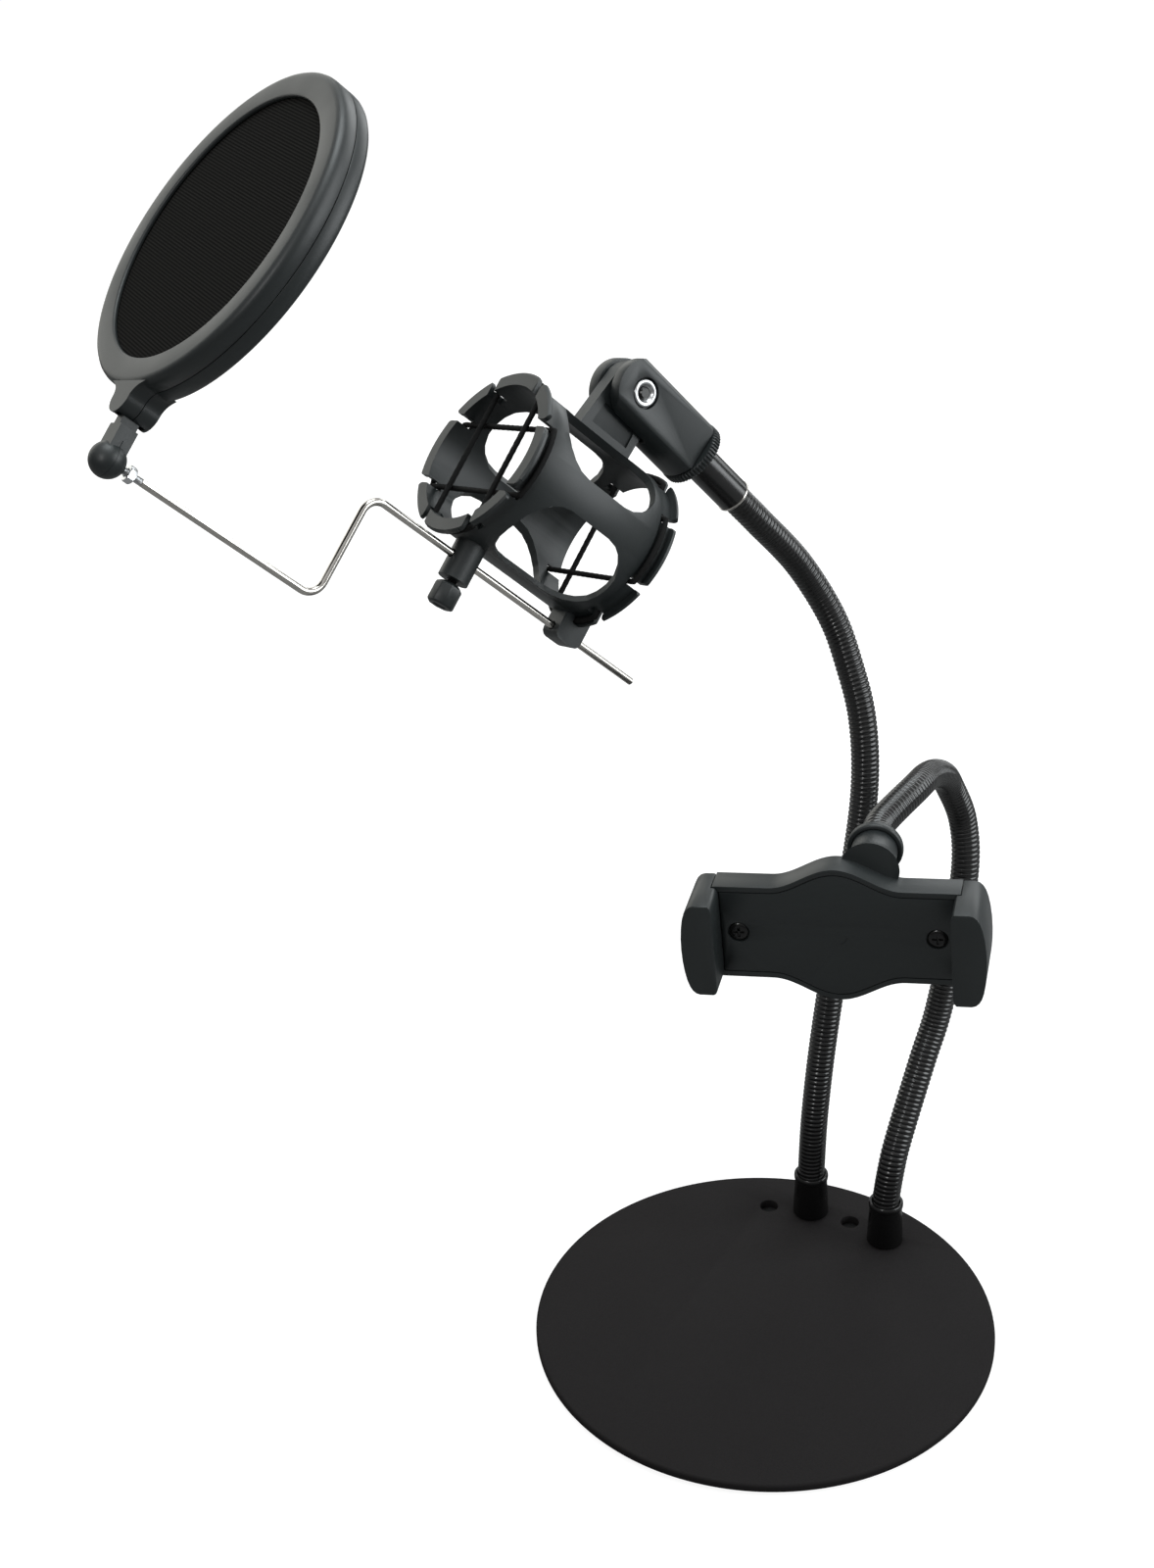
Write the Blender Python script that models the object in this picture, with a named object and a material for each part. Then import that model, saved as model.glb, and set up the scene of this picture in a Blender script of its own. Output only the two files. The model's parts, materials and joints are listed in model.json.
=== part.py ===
"""Desk stand with a pop filter, a microphone shock mount and a phone clamp on two goosenecks.

Metres, +Z up. The origin is the centre of the base's underside, +Y points to the back through the
middle of the row of foot holes. Small pieces are drawn in millimetres in a local frame and placed
by that frame's matrix.
"""

import math

import bmesh
import bpy
from mathutils import Matrix, Vector

MM = 0.001
GAP = 0.3

# Base
BASE_RADIUS = 100.0
PAD_THICK = 1.0
PLATE_THICK = 4.0
PLATE_BOTTOM = PAD_THICK + GAP
PLATE_TOP = PLATE_BOTTOM + PLATE_THICK
HOLE_CIRCLE = 78.0
HOLE_PITCH_DEG = 14.4
HOLE_RADIUS = 4.25
SCREW_HEAD_RADIUS = 6.0
FERRULE_HEIGHT = 22.0
FERRULE_BASE = PLATE_TOP + GAP
FERRULE_TOP = FERRULE_BASE + FERRULE_HEIGHT

# Goosenecks
TUBE_RADIUS = 6.2
NECK_LINKS = 7
LINK_GAP = 2.4
NECK_FOOT_Z = FERRULE_TOP - 6.5

# The head frame: u runs back along the microphone, v up, w to the side
HEAD_ORIGIN = Vector((-112.1, -5.3, 388.2))
HEAD_AZIMUTH_DEG = 53.56
HEAD_DIP_DEG = 43.83
HEAD_ROLL_DEG = -16.2

# Shock mount basket, along u
BASKET_INNER = 29.4
BASKET_OUTER = 31.8
FLANGE_RADIUS = 35.2
REAR_FLANGE_RADIUS = 34.8
FRONT_FACE = -4.6
REAR_FACE = 70.6
FLANGE_THICK = 1.9
CORD_FRONT = 0.0
CORD_REAR = 66.0
CORD_RADIUS = 1.1
CORD_STEP = 1.2
CORD_REACH = BASKET_OUTER + CORD_RADIUS + 0.35
UPRIGHT_SPREAD = 14.6
CROSS_SPREAD = 13.9
SLOT_WIDTH = 3.2

# Swivel, in the head frame
PIVOT_U = 43.0
PIVOT_V = 56.5
BARREL_RADIUS = 13.6
SWIVEL_DROP_DEG = 5.0
BARREL_END = 80.0
TONGUE_HALF = 3.2
TONGUE_RADIUS = 12.6
SEAT_DEPTH = 2.6
WASHER_THICK = 0.7
CHEEK_HALF = 9.9
COLLAR_FRONT = BARREL_END + GAP
COLLAR_REAR = 84.2
NECK_END_U = 105.0

# Wire arm, in the head frame
WIRE_RADIUS = 1.5
WIRE_BORE = WIRE_RADIUS + 0.35
WIRE_V = -39.0
WIRE_LOW_V = -83.0
WIRE_TAIL_U = 108.0
WIRE_BEND_U = -37.0
WIRE_TIP_U = -124.5
WIRE_INSIDE = 4.0
BEND_RADIUS = 7.0
BALL_U = -132.0
BALL_RADIUS = 6.6
CLAMP_U = 11.0

# Pop filter
HOOP_RADIUS = 64.5
HOOP_OPENING = 53.5
HOOP_THICK = 14.0
HOOP_CENTRE = Vector((-132.0, 6.9, -3.3))
MESH_RADIUS = 58.0
MESH_THICK = 0.65
BOSS_FROM_BALL = 21.0
BOSS_RADIUS = 6.0
LIP_THICK = 1.6

# Phone clamp frame: x along the jaws, y away from the phone, z up
PHONE_ORIGIN = Vector((33.9, -9.3, 214.9))
PHONE_YAW_DEG = 13.8
PHONE_ROLL_DEG = -3.9
PLATE_HALF = 47.8
PLATE_LOW = 20.2
PLATE_HIGH = 29.0
BUMP_HALF = 26.0
SHELL_DEPTH = 11.5
JAW_INNER = 45.4
JAW_OUTER = 58.5
JAW_FRONT = -15.5
SOCKET_X = 12.5
SOCKET_Z = 24.5
SOCKET_RADIUS = 9.0
BALL_STUD_RADIUS = 6.4
BALL_STUD_Y = 21.5
NECK_END_Y = 34.5
PHONE_SCREW_X = 38.6

STEEL = ("steel", (0.62, 0.62, 0.63), 0.25, 1.0)
ZINC = ("zinc", (0.70, 0.71, 0.72), 0.35, 1.0)
BLACK_STEEL = ("black_steel", (0.012, 0.012, 0.013), 0.30, 0.3)
POWDER = ("powder_coat", (0.018, 0.018, 0.018), 0.75, 0.0)
PLASTIC = ("black_plastic", (0.022, 0.024, 0.025), 0.55, 0.0)
RUBBER = ("rubber", (0.012, 0.012, 0.012), 0.85, 0.0)
FABRIC = ("mesh_fabric", (0.008, 0.008, 0.008), 0.95, 0.0)


def clear_scene():
    for obj in list(bpy.data.objects):
        bpy.data.objects.remove(obj, do_unlink=True)


def material(spec):
    name, colour, roughness, metallic = spec
    found = bpy.data.materials.get(name)
    if found:
        return found
    made = bpy.data.materials.new(name)
    made.use_nodes = True
    shader = made.node_tree.nodes["Principled BSDF"]
    shader.inputs["Base Color"].default_value = (*colour, 1.0)
    shader.inputs["Roughness"].default_value = roughness
    shader.inputs["Metallic"].default_value = metallic
    return made


def frame_matrix(origin, u, v, w):
    """Local millimetres to world metres: local x, y, z run along u, v, w."""
    rotation = Matrix((u, v, w)).transposed().to_4x4()
    return Matrix.Translation(origin * MM) @ rotation @ Matrix.Scale(MM, 4)


def head_axes():
    turn = Matrix.Rotation(math.radians(HEAD_AZIMUTH_DEG), 3, "Z")
    dip = Matrix.Rotation(math.radians(HEAD_DIP_DEG), 3, "Y")
    roll = Matrix.Rotation(math.radians(HEAD_ROLL_DEG), 3, "X")
    axes = turn @ dip @ roll
    u = axes @ Vector((1, 0, 0))
    v = axes @ Vector((0, 0, 1))
    return u, v, u.cross(v)


def phone_axes():
    turn = Matrix.Rotation(math.radians(PHONE_YAW_DEG), 3, "Z")
    roll = Matrix.Rotation(math.radians(PHONE_ROLL_DEG), 3, "Y")
    axes = turn @ roll
    return [axes @ Vector(axis) for axis in ((1, 0, 0), (0, 1, 0), (0, 0, 1))]


HEAD_U, HEAD_V, HEAD_W = head_axes()
WORLD = Matrix.Scale(MM, 4)
HEAD = frame_matrix(HEAD_ORIGIN, HEAD_U, HEAD_V, HEAD_W)
PHONE = frame_matrix(PHONE_ORIGIN, *phone_axes())
PIVOT = Matrix.Translation((PIVOT_U, PIVOT_V, 0))
SWIVEL = HEAD @ PIVOT @ Matrix.Rotation(math.radians(-SWIVEL_DROP_DEG), 4, "Z") @ PIVOT.inverted()


def head_point(u, v, w=0.0):
    return HEAD @ Vector((u, v, w)) / MM


def barrel_point(u):
    """A point on the swivel barrel's axis."""
    return SWIVEL @ Vector((u, PIVOT_V, 0)) / MM


def mesh_from(bm, name):
    bmesh.ops.remove_doubles(bm, verts=bm.verts, dist=1e-4)
    bmesh.ops.recalc_face_normals(bm, faces=bm.faces)
    mesh = bpy.data.meshes.new(name)
    bm.to_mesh(mesh)
    bm.free()
    return mesh


def new_object(name, mesh, spec, matrix, origin=None):
    """Bakes the local frame into the mesh and sets the object's origin, on its joint if it has one."""
    mesh.transform(matrix)
    if matrix.determinant() < 0:
        mesh.flip_normals()
    place = Vector(origin) * MM if origin is not None else matrix.translation
    mesh.transform(Matrix.Translation(-place))
    obj = bpy.data.objects.new(name, mesh)
    obj.location = place
    bpy.context.scene.collection.objects.link(obj)
    mesh.materials.append(material(spec))
    mesh.shade_smooth()
    mesh.set_sharp_from_angle(angle=math.radians(35))
    return obj


def loft(rings, closed=False):
    """A bmesh skin over rings of equal length, with both ends capped unless it closes on itself."""
    bm = bmesh.new()
    rows = [[bm.verts.new(point) for point in ring] for ring in rings]
    pairs = list(zip(rows, rows[1:]))
    if closed:
        pairs.append((rows[-1], rows[0]))
    count = len(rows[0])
    for low, high in pairs:
        for i in range(count):
            j = (i + 1) % count
            bm.faces.new((low[i], low[j], high[j], high[i]))
    if not closed:
        bm.faces.new(rows[0])
        bm.faces.new(rows[-1])
    return bm


def turned(profile, axis="z", sides=32, centre=(0, 0, 0)):
    """A solid of revolution from (radius, height) points; a closed outline makes a ring."""
    is_ring = profile[0] == profile[-1]
    points = profile[:-1] if is_ring else profile
    rings = []
    for radius, height in points:
        ring = []
        for i in range(sides):
            angle = 2 * math.pi * i / sides
            a, b = radius * math.cos(angle), radius * math.sin(angle)
            local = {"x": (height, a, b), "y": (b, height, a), "z": (a, b, height)}[axis]
            ring.append(Vector(local) + Vector(centre))
        rings.append(ring)
    return loft(rings, closed=is_ring)


def tube_ring(inner, outer, low, high, axis="z", sides=32, centre=(0, 0, 0)):
    profile = [(outer, low), (outer, high), (inner, high), (inner, low), (outer, low)]
    return turned(profile, axis, sides, centre)


def prism(outline, low, high, axis="z", centre=(0, 0, 0)):
    """An outline of (a, b) points extruded along an axis."""
    rings = []
    for height in (low, high):
        ring = []
        for a, b in outline:
            local = {"x": (height, a, b), "y": (b, height, a), "z": (a, b, height)}[axis]
            ring.append(Vector(local) + Vector(centre))
        rings.append(ring)
    return loft(rings)


def box(low, high):
    outline = [(low[0], low[1]), (high[0], low[1]), (high[0], high[1]), (low[0], high[1])]
    return prism(outline, low[2], high[2])


def arc(centre, radius, start_deg, end_deg, steps):
    points = []
    for i in range(steps + 1):
        angle = math.radians(start_deg + (end_deg - start_deg) * i / steps)
        points.append((centre[0] + radius * math.cos(angle), centre[1] + radius * math.sin(angle)))
    return points


def rounded_rectangle(half_a, half_b, radius, steps=4, centre=(0, 0)):
    points = []
    for corner, (sa, sb) in enumerate(((1, 1), (-1, 1), (-1, -1), (1, -1))):
        middle = (centre[0] + sa * (half_a - radius), centre[1] + sb * (half_b - radius))
        points += arc(middle, radius, 90 * corner, 90 * corner + 90, steps)
    return points


def polygon(radius, sides, start_deg=0.0):
    step = 360.0 / sides
    angles = [math.radians(start_deg + step * i) for i in range(sides)]
    return [(radius * math.cos(angle), radius * math.sin(angle)) for angle in angles]


def combine(name, base, tools, matrix, spec, origin=None, bevel=0.0):
    """A base bmesh with (operation, bmesh) Booleans applied in order, then an optional edge bevel."""
    obj = new_object(name, mesh_from(base, name), spec, matrix, origin)
    for index, (operation, tool) in enumerate(tools):
        cutter = new_object(f"{name}_tool_{index}", mesh_from(tool, name), spec, matrix, origin)
        modifier = obj.modifiers.new(f"{operation}_{index}", "BOOLEAN")
        modifier.operation = operation
        modifier.object = cutter
        cutter.hide_render = True
        cutter.display_type = "WIRE"
    if bevel:
        modifier = obj.modifiers.new("edge_round", "BEVEL")
        modifier.width = bevel * MM
        modifier.segments = 1
        modifier.limit_method = "ANGLE"
        modifier.angle_limit = math.radians(50)
    return obj


def swept(name, points, radius, spec, sides_level, origin=None):
    """A round rod along world-millimetre points."""
    curve = bpy.data.curves.new(name, "CURVE")
    curve.dimensions = "3D"
    curve.bevel_depth = radius * MM
    curve.bevel_resolution = sides_level
    curve.use_fill_caps = True
    curve.render_resolution_u = 0
    spline = curve.splines.new("POLY")
    spline.points.add(len(points) - 1)
    place = Vector(origin if origin is not None else points[0]) * MM
    for point, target in zip(spline.points, points):
        point.co = (*(Vector(target) * MM - place), 1.0)
    obj = bpy.data.objects.new(name, curve)
    obj.location = place
    bpy.context.scene.collection.objects.link(obj)
    curve.materials.append(material(spec))
    return obj


def smooth_path(knots):
    """Points along a Catmull-Rom curve through the knots, and each one's distance from the start."""
    knots = [Vector(knot) for knot in knots]
    padded = [2 * knots[0] - knots[1]] + knots + [2 * knots[-1] - knots[-2]]
    fine = []
    for p0, p1, p2, p3 in zip(padded, padded[1:], padded[2:], padded[3:]):
        for i in range(24):
            t = i / 24
            fine.append(
                0.5
                * (
                    2 * p1
                    + (p2 - p0) * t
                    + (2 * p0 - 5 * p1 + 4 * p2 - p3) * t**2
                    + (3 * p1 - p0 - 3 * p2 + p3) * t**3
                )
            )
    fine.append(knots[-1])
    lengths = [0.0]
    for a, b in zip(fine, fine[1:]):
        lengths.append(lengths[-1] + (b - a).length)
    return fine, lengths


def point_at(path, distance):
    fine, lengths = path
    distance = min(max(distance, 0.0), lengths[-1])
    for i in range(len(fine) - 1):
        if lengths[i + 1] >= distance:
            span = lengths[i + 1] - lengths[i]
            t = (distance - lengths[i]) / span if span else 0.0
            return fine[i].lerp(fine[i + 1], t)
    return fine[-1]


def foot_place(index):
    """The world x, y of one of the four holes, counted from the left as seen from the front."""
    angle = math.radians(HOLE_PITCH_DEG * (index - 1.5))
    return HOLE_CIRCLE * math.sin(angle), HOLE_CIRCLE * math.cos(angle)


MIC_FOOT = foot_place(1)
PHONE_FOOT = foot_place(3)


# ---- base ----


def make_base():
    edge = 1.2
    profile = [
        (BASE_RADIUS - edge, PLATE_BOTTOM),
        (BASE_RADIUS, PLATE_BOTTOM + edge),
        (BASE_RADIUS, PLATE_TOP - edge),
        (BASE_RADIUS - edge * 0.3, PLATE_TOP - edge * 0.3),
        (BASE_RADIUS - edge, PLATE_TOP),
    ]
    cuts = []
    for index in range(4):
        x, y = foot_place(index)
        cuts.append(("DIFFERENCE", turned([(HOLE_RADIUS, -1), (HOLE_RADIUS, 9)], "z", 16, (x, y, 0))))
        if index % 2:
            head_hole = [(SCREW_HEAD_RADIUS + 0.5, -1), (SCREW_HEAD_RADIUS + 0.5, PLATE_BOTTOM + 2.1)]
            cuts.append(("DIFFERENCE", turned(head_hole, "z", 16, (x, y, 0))))
    combine("base_plate", turned(profile, "z", 72), cuts, WORLD, POWDER)
    cuts = []
    for x, y in (MIC_FOOT, PHONE_FOOT):
        cuts.append(("DIFFERENCE", turned([(7.5, -1), (7.5, 3)], "z", 12, (x, y, 0))))
    pad = turned([(BASE_RADIUS - 2, 0), (BASE_RADIUS - 2, PAD_THICK)], "z", 72)
    combine("base_pad", pad, cuts, WORLD, RUBBER)


def make_foot(name, place):
    """The ferrule that the gooseneck stands in, and the screw that holds it from below."""
    x, y = place
    head_low = PLATE_BOTTOM + 0.2
    head_high = PLATE_BOTTOM + 1.8
    profile = [
        (0.0, head_low),
        (SCREW_HEAD_RADIUS, head_low),
        (SCREW_HEAD_RADIUS, head_high),
        (3.9, head_high),
        (3.9, FERRULE_BASE + 10.0),
        (0.0, FERRULE_BASE + 10.0),
    ]
    screw = turned(profile, "z", 16, (x, y, 0))
    new_object(f"{name}_foot_screw", mesh_from(screw, name), ZINC, WORLD)
    low, high = FERRULE_BASE, FERRULE_TOP
    profile = [
        (8.2, low),
        (7.35, high - 3.0),
        (7.75, high - 2.4),
        (7.75, high - 0.6),
        (7.3, high),
        (TUBE_RADIUS + GAP, high),
        (TUBE_RADIUS + GAP, high - 7.2),
        (4.25, high - 7.2),
        (4.25, low),
        (8.2, low),
    ]
    ferrule = turned(profile, "z", 24, (x, y, 0))
    new_object(f"{name}_foot_ferrule", mesh_from(ferrule, name), BLACK_STEEL, WORLD)


# ---- goosenecks ----


def mic_neck_knots():
    x, y = MIC_FOOT
    return [
        (x, y, NECK_FOOT_Z),
        (x, y, FERRULE_TOP + 1.0),
        (x + 0.5, y + 2.0, 60.0),
        (x + 1.0, y + 10.0, 97.0),
        (x + 2.3, y + 22.6, 140.0),
        (x + 4.5, y + 36.6, 180.0),
        (x + 4.8, y + 43.6, 212.0),
        (x + 0.8, y + 48.6, 240.0),
        (x - 7.2, y + 52.6, 262.0),
        (x - 16.2, y + 53.6, 283.0),
        (x - 28.2, y + 44.6, 309.0),
        barrel_point(NECK_END_U + 24),
        barrel_point(NECK_END_U + 12),
        barrel_point(NECK_END_U),
    ]


def phone_neck_knots():
    x, y = PHONE_FOOT
    end = PHONE @ Vector((SOCKET_X, NECK_END_Y, SOCKET_Z)) / MM
    near_end = PHONE @ Vector((SOCKET_X, NECK_END_Y + 12.0, SOCKET_Z + 0.6)) / MM
    return [
        (x, y, NECK_FOOT_Z),
        (x, y, FERRULE_TOP + 1.0),
        (x + 1.0, y + 2.6, 44.0),
        (x + 1.9, y + 8.8, 57.5),
        (x + 4.9, y + 28.0, 88.0),
        (x + 7.5, y + 39.0, 108.0),
        (x + 10.5, y + 48.0, 142.0),
        (x + 12.0, y + 54.0, 176.0),
        (x + 9.0, y + 56.5, 198.0),
        (x + 5.0, y + 49.0, 217.0),
        (x + 5.4, y + 36.0, 229.0),
        (x + 6.0, y + 18.0, 237.5),
        (x + 8.0, y - 6.0, 243.0),
        near_end,
        end,
    ]


def neck_stations(path):
    """Distances along the path where one link ends and the next begins."""
    total = path[1][-1]
    return [total * i / NECK_LINKS for i in range(NECK_LINKS + 1)]


def make_neck(name, knots):
    path = smooth_path(knots)
    stations = neck_stations(path)
    pieces = 5
    for index, (start, end) in enumerate(zip(stations, stations[1:])):
        low = start + (LINK_GAP / 2 if index else 0.0)
        high = end - (LINK_GAP / 2 if index < NECK_LINKS - 1 else 0.0)
        points = [point_at(path, low + (high - low) * i / pieces) for i in range(pieces + 1)]
        joint = point_at(path, start)
        swept(f"{name}_link_{index}", points, TUBE_RADIUS, BLACK_STEEL, 2, joint)


# ---- swivel head ----


def make_neck_top():
    """The ferrule on the microphone gooseneck, its threaded tip and the knurled lock ring."""
    axis = (0, PIVOT_V, 0)
    tip_front = 62.0
    profile = [
        (0.0, tip_front),
        (5.0, tip_front),
        (5.0, COLLAR_REAR + 1.5),
        (7.3, COLLAR_REAR + 1.5),
        (7.3, 109.0),
        (7.7, 109.6),
        (7.7, 111.4),
        (7.3, 112.0),
        (0.0, 112.0),
    ]
    socket = [(TUBE_RADIUS + GAP, NECK_END_U - GAP), (TUBE_RADIUS + GAP, 116.0)]
    origin = barrel_point(NECK_END_U)
    combine(
        "mic_top_ferrule",
        turned(profile, "x", 24, axis),
        [("DIFFERENCE", turned(socket, "x", 24, axis))],
        SWIVEL,
        BLACK_STEEL,
        origin,
    )
    teeth = 40
    outline = []
    for i in range(2 * teeth):
        angle = math.pi * i / teeth
        radius = 13.9 if i % 2 else 13.2
        outline.append((radius * math.cos(angle), radius * math.sin(angle)))
    ring = prism(outline, COLLAR_FRONT, COLLAR_REAR, "x", axis)
    bore = turned([(5.4, 70), (5.4, 95)], "x", 24, axis)
    combine("lock_ring", ring, [("DIFFERENCE", bore)], SWIVEL, PLASTIC, barrel_point(COLLAR_FRONT))


def make_swivel():
    axis = (0, PIVOT_V, 0)
    pivot = head_point(PIVOT_U, PIVOT_V)
    rim = BARREL_END - 0.8
    profile = [(BARREL_RADIUS, 20.0), (BARREL_RADIUS, rim), (BARREL_RADIUS - 0.8, BARREL_END)]
    keep = arc((PIVOT_U, PIVOT_V), BARREL_RADIUS - 0.2, 90, 270, 14)
    keep = [(BARREL_END + 5, PIVOT_V + 20), (PIVOT_U, PIVOT_V + 20)] + keep
    keep = keep + [(PIVOT_U, PIVOT_V - 20), (BARREL_END + 5, PIVOT_V - 20)]
    slot_half = TONGUE_HALF + WASHER_THICK + 2 * GAP
    slot_floor = PIVOT_U + 15.5
    slot = box((10.0, PIVOT_V - 20, -slot_half), (slot_floor, PIVOT_V + 20, slot_half))
    centre = (PIVOT_U, PIVOT_V, 0)
    seat = CHEEK_HALF - SEAT_DEPTH
    tools = [
        ("INTERSECT", prism(keep, -CHEEK_HALF, CHEEK_HALF)),
        ("DIFFERENCE", slot),
        ("DIFFERENCE", turned([(5.35, 58.0), (5.35, BARREL_END + 4)], "x", 24, axis)),
        ("DIFFERENCE", turned([(2.8, -20), (2.8, 20)], "z", 16, centre)),
        ("DIFFERENCE", turned([(6.3, seat), (6.3, 20)], "z", 24, centre)),
        ("DIFFERENCE", turned([(6.3, -20), (6.3, -seat)], "z", 24, centre)),
    ]
    combine("swivel_barrel", turned(profile, "x", 32, axis), tools, SWIVEL, PLASTIC, pivot)
    bolt = [
        (0.0, -seat - 2.6),
        (4.8, -seat - 2.6),
        (5.2, -seat - 2.0),
        (5.2, -seat - GAP),
        (2.5, -seat - GAP),
        (2.5, seat + 3.0),
        (0.0, seat + 3.0),
    ]
    new_object("pivot_bolt", mesh_from(turned(bolt, "z", 20, centre), "bolt"), ZINC, SWIVEL, pivot)
    nut = turned([(5.5, seat + GAP), (5.5, seat + 2.0), (4.9, seat + 2.5)], "z", 24, centre)
    hole = turned([(2.8, 0), (2.8, 20)], "z", 16, centre)
    combine("pivot_nut", nut, [("DIFFERENCE", hole)], SWIVEL, ZINC, pivot)
    for name, side in (("near", 1), ("far", -1)):
        low = side * (TONGUE_HALF + GAP)
        high = side * (TONGUE_HALF + GAP + WASHER_THICK)
        washer = tube_ring(2.8, 9.0, min(low, high), max(low, high), "z", 24, centre)
        new_object(f"friction_washer_{name}", mesh_from(washer, name), RUBBER, SWIVEL, pivot)


# ---- shock mount ----


def slot_outline():
    """One notch as (outward, sideways) points, flared at its mouth so that the tabs end in round lobes."""
    half = SLOT_WIDTH / 2
    flare = [(0.0, 0.0), (0.9, 0.25), (1.7, 0.9), (2.3, 2.2)]
    inner = [(30.8 + y, -half - z) for y, z in flare]
    outer = [(28.0 + y, half + z) for y, z in flare]
    return [(24.0, -half), *inner, (45.0, -half - 2.2), (45.0, half + 2.2), *reversed(outer), (24.0, half)]


def basket_slots(face, depth):
    """Cutters for the eight notches that the elastic cords pass through, each along its own cord."""
    cutters = []
    low, high = sorted((face, face + depth))
    for quarter in range(4):
        spread = CROSS_SPREAD if quarter % 2 else UPRIGHT_SPREAD
        turn = Matrix.Rotation(math.radians(90 * quarter), 3, "X")
        for side in (-1, 1):
            middle = side * spread
            outline = [(y, middle + side * z) for y, z in slot_outline()]
            cutter = prism(outline, low, high, "x")
            bmesh.ops.rotate(cutter, verts=cutter.verts, cent=(0, 0, 0), matrix=turn)
            cutters.append(cutter)
    return cutters


def merged(parts):
    """Several bmeshes that don't touch, as one."""
    whole = bmesh.new()
    for part in parts:
        mesh = bpy.data.meshes.new("part")
        part.to_mesh(mesh)
        part.free()
        whole.from_mesh(mesh)
        bpy.data.meshes.remove(mesh)
    return whole


def basket_windows():
    """Four rounded windows between the ribs, cut from the axis outwards."""
    cutters = []
    middle = (FRONT_FACE + REAR_FACE) / 2 + 1.0
    for quarter in range(4):
        angle = math.radians(45 + 90 * quarter)
        outline = rounded_rectangle(25.0, 17.5, 15.0, 5, (middle, 0))
        cutter = prism(outline, 22.0, 50.0)
        turn = Matrix.Rotation(angle, 3, "X")
        bmesh.ops.rotate(cutter, verts=cutter.verts, cent=(0, 0, 0), matrix=turn)
        cutters.append(cutter)
    return cutters


def make_basket():
    pivot = head_point(PIVOT_U, PIVOT_V)
    groove = 2.6
    profile = [
        (FLANGE_RADIUS - 0.8, FRONT_FACE),
        (FLANGE_RADIUS, FRONT_FACE + 0.8),
        (FLANGE_RADIUS, FRONT_FACE + FLANGE_THICK),
        (BASKET_OUTER, CORD_FRONT - groove),
        (BASKET_OUTER, CORD_FRONT + groove),
        (BASKET_OUTER + 0.6, CORD_FRONT + groove + 0.8),
        (BASKET_OUTER + 0.6, CORD_REAR - groove - 0.8),
        (BASKET_OUTER, CORD_REAR - groove),
        (BASKET_OUTER, CORD_REAR + groove),
        (REAR_FLANGE_RADIUS, REAR_FACE - FLANGE_THICK),
        (REAR_FLANGE_RADIUS, REAR_FACE - 0.8),
        (REAR_FLANGE_RADIUS - 0.8, REAR_FACE),
        (BASKET_INNER - 0.6, REAR_FACE),
        (BASKET_INNER - 0.6, FRONT_FACE),
        (FLANGE_RADIUS - 0.8, FRONT_FACE),
    ]
    boss = turned([(6.2, WIRE_V - 8.5), (6.2, WIRE_V + 8.0)], "y", 20, (CLAMP_U, 0, 0))
    lug = prism(rounded_rectangle(6.6, 8.0, 3.0, 3, (67.4, WIRE_V + 4.0)), -4.8, 4.8)
    cord_outside = CORD_REACH + CORD_RADIUS + 0.5
    cord_end = CORD_REAR + groove - 0.1
    cord_way = tube_ring(BASKET_OUTER + 0.1, cord_outside, 65.6, cord_end, "x", 48)
    arm = [(26.0, 30.6), (54.0, 30.6)] + arc((PIVOT_U, PIVOT_V), TONGUE_RADIUS, 0, 180, 12)
    tongue = prism(arm, -TONGUE_HALF, TONGUE_HALF)
    inside = turned([(BASKET_INNER, FRONT_FACE - 5), (BASKET_INNER, REAR_FACE + 5)], "x", 48)
    wire_bore = turned([(WIRE_BORE, -20), (WIRE_BORE, 90)], "x", 16, (0, WIRE_V, 0))
    screw_bore = turned([(2.4, WIRE_V - 20), (2.4, WIRE_V - 0.5)], "y", 16, (CLAMP_U, 0, 0))
    pivot_bore = turned([(2.8, -20), (2.8, 20)], "z", 16, (PIVOT_U, PIVOT_V, 0))
    panel = [(31.0, 36.0), (51.0, 36.0), (51.0, 45.5), (32.5, 45.5)]
    tools = [
        ("DIFFERENCE", merged(basket_slots(FRONT_FACE - 2.0, CORD_FRONT - FRONT_FACE + 4.7))),
        ("DIFFERENCE", merged(basket_slots(REAR_FACE + 2.0, CORD_REAR - REAR_FACE - 4.7))),
        ("DIFFERENCE", merged(basket_windows())),
        ("UNION", boss),
        ("UNION", lug),
        ("DIFFERENCE", cord_way),
        ("UNION", tongue),
        ("DIFFERENCE", inside),
        ("DIFFERENCE", wire_bore),
        ("DIFFERENCE", screw_bore),
        ("DIFFERENCE", pivot_bore),
        ("DIFFERENCE", prism(panel, TONGUE_HALF - 0.8, TONGUE_HALF + 5)),
        ("DIFFERENCE", prism(panel, -TONGUE_HALF - 5, -TONGUE_HALF + 0.8)),
    ]
    combine("shock_basket", turned(profile, "x", 48), tools, HEAD, PLASTIC, pivot)


def cord_loop(u, turn_deg, spread):
    """One elastic: out round two opposite tabs, straight across between them, as a closed route."""
    half = math.asin(spread / CORD_REACH)
    route = []
    for centre in (0, math.pi):
        for i in range(9):
            angle = centre + half * (i - 4) / 4
            route.append((u, CORD_REACH * math.cos(angle), CORD_REACH * math.sin(angle)))
    turn = Matrix.Rotation(math.radians(turn_deg), 3, "X")
    return [turn @ Vector(point) for point in route]


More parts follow.
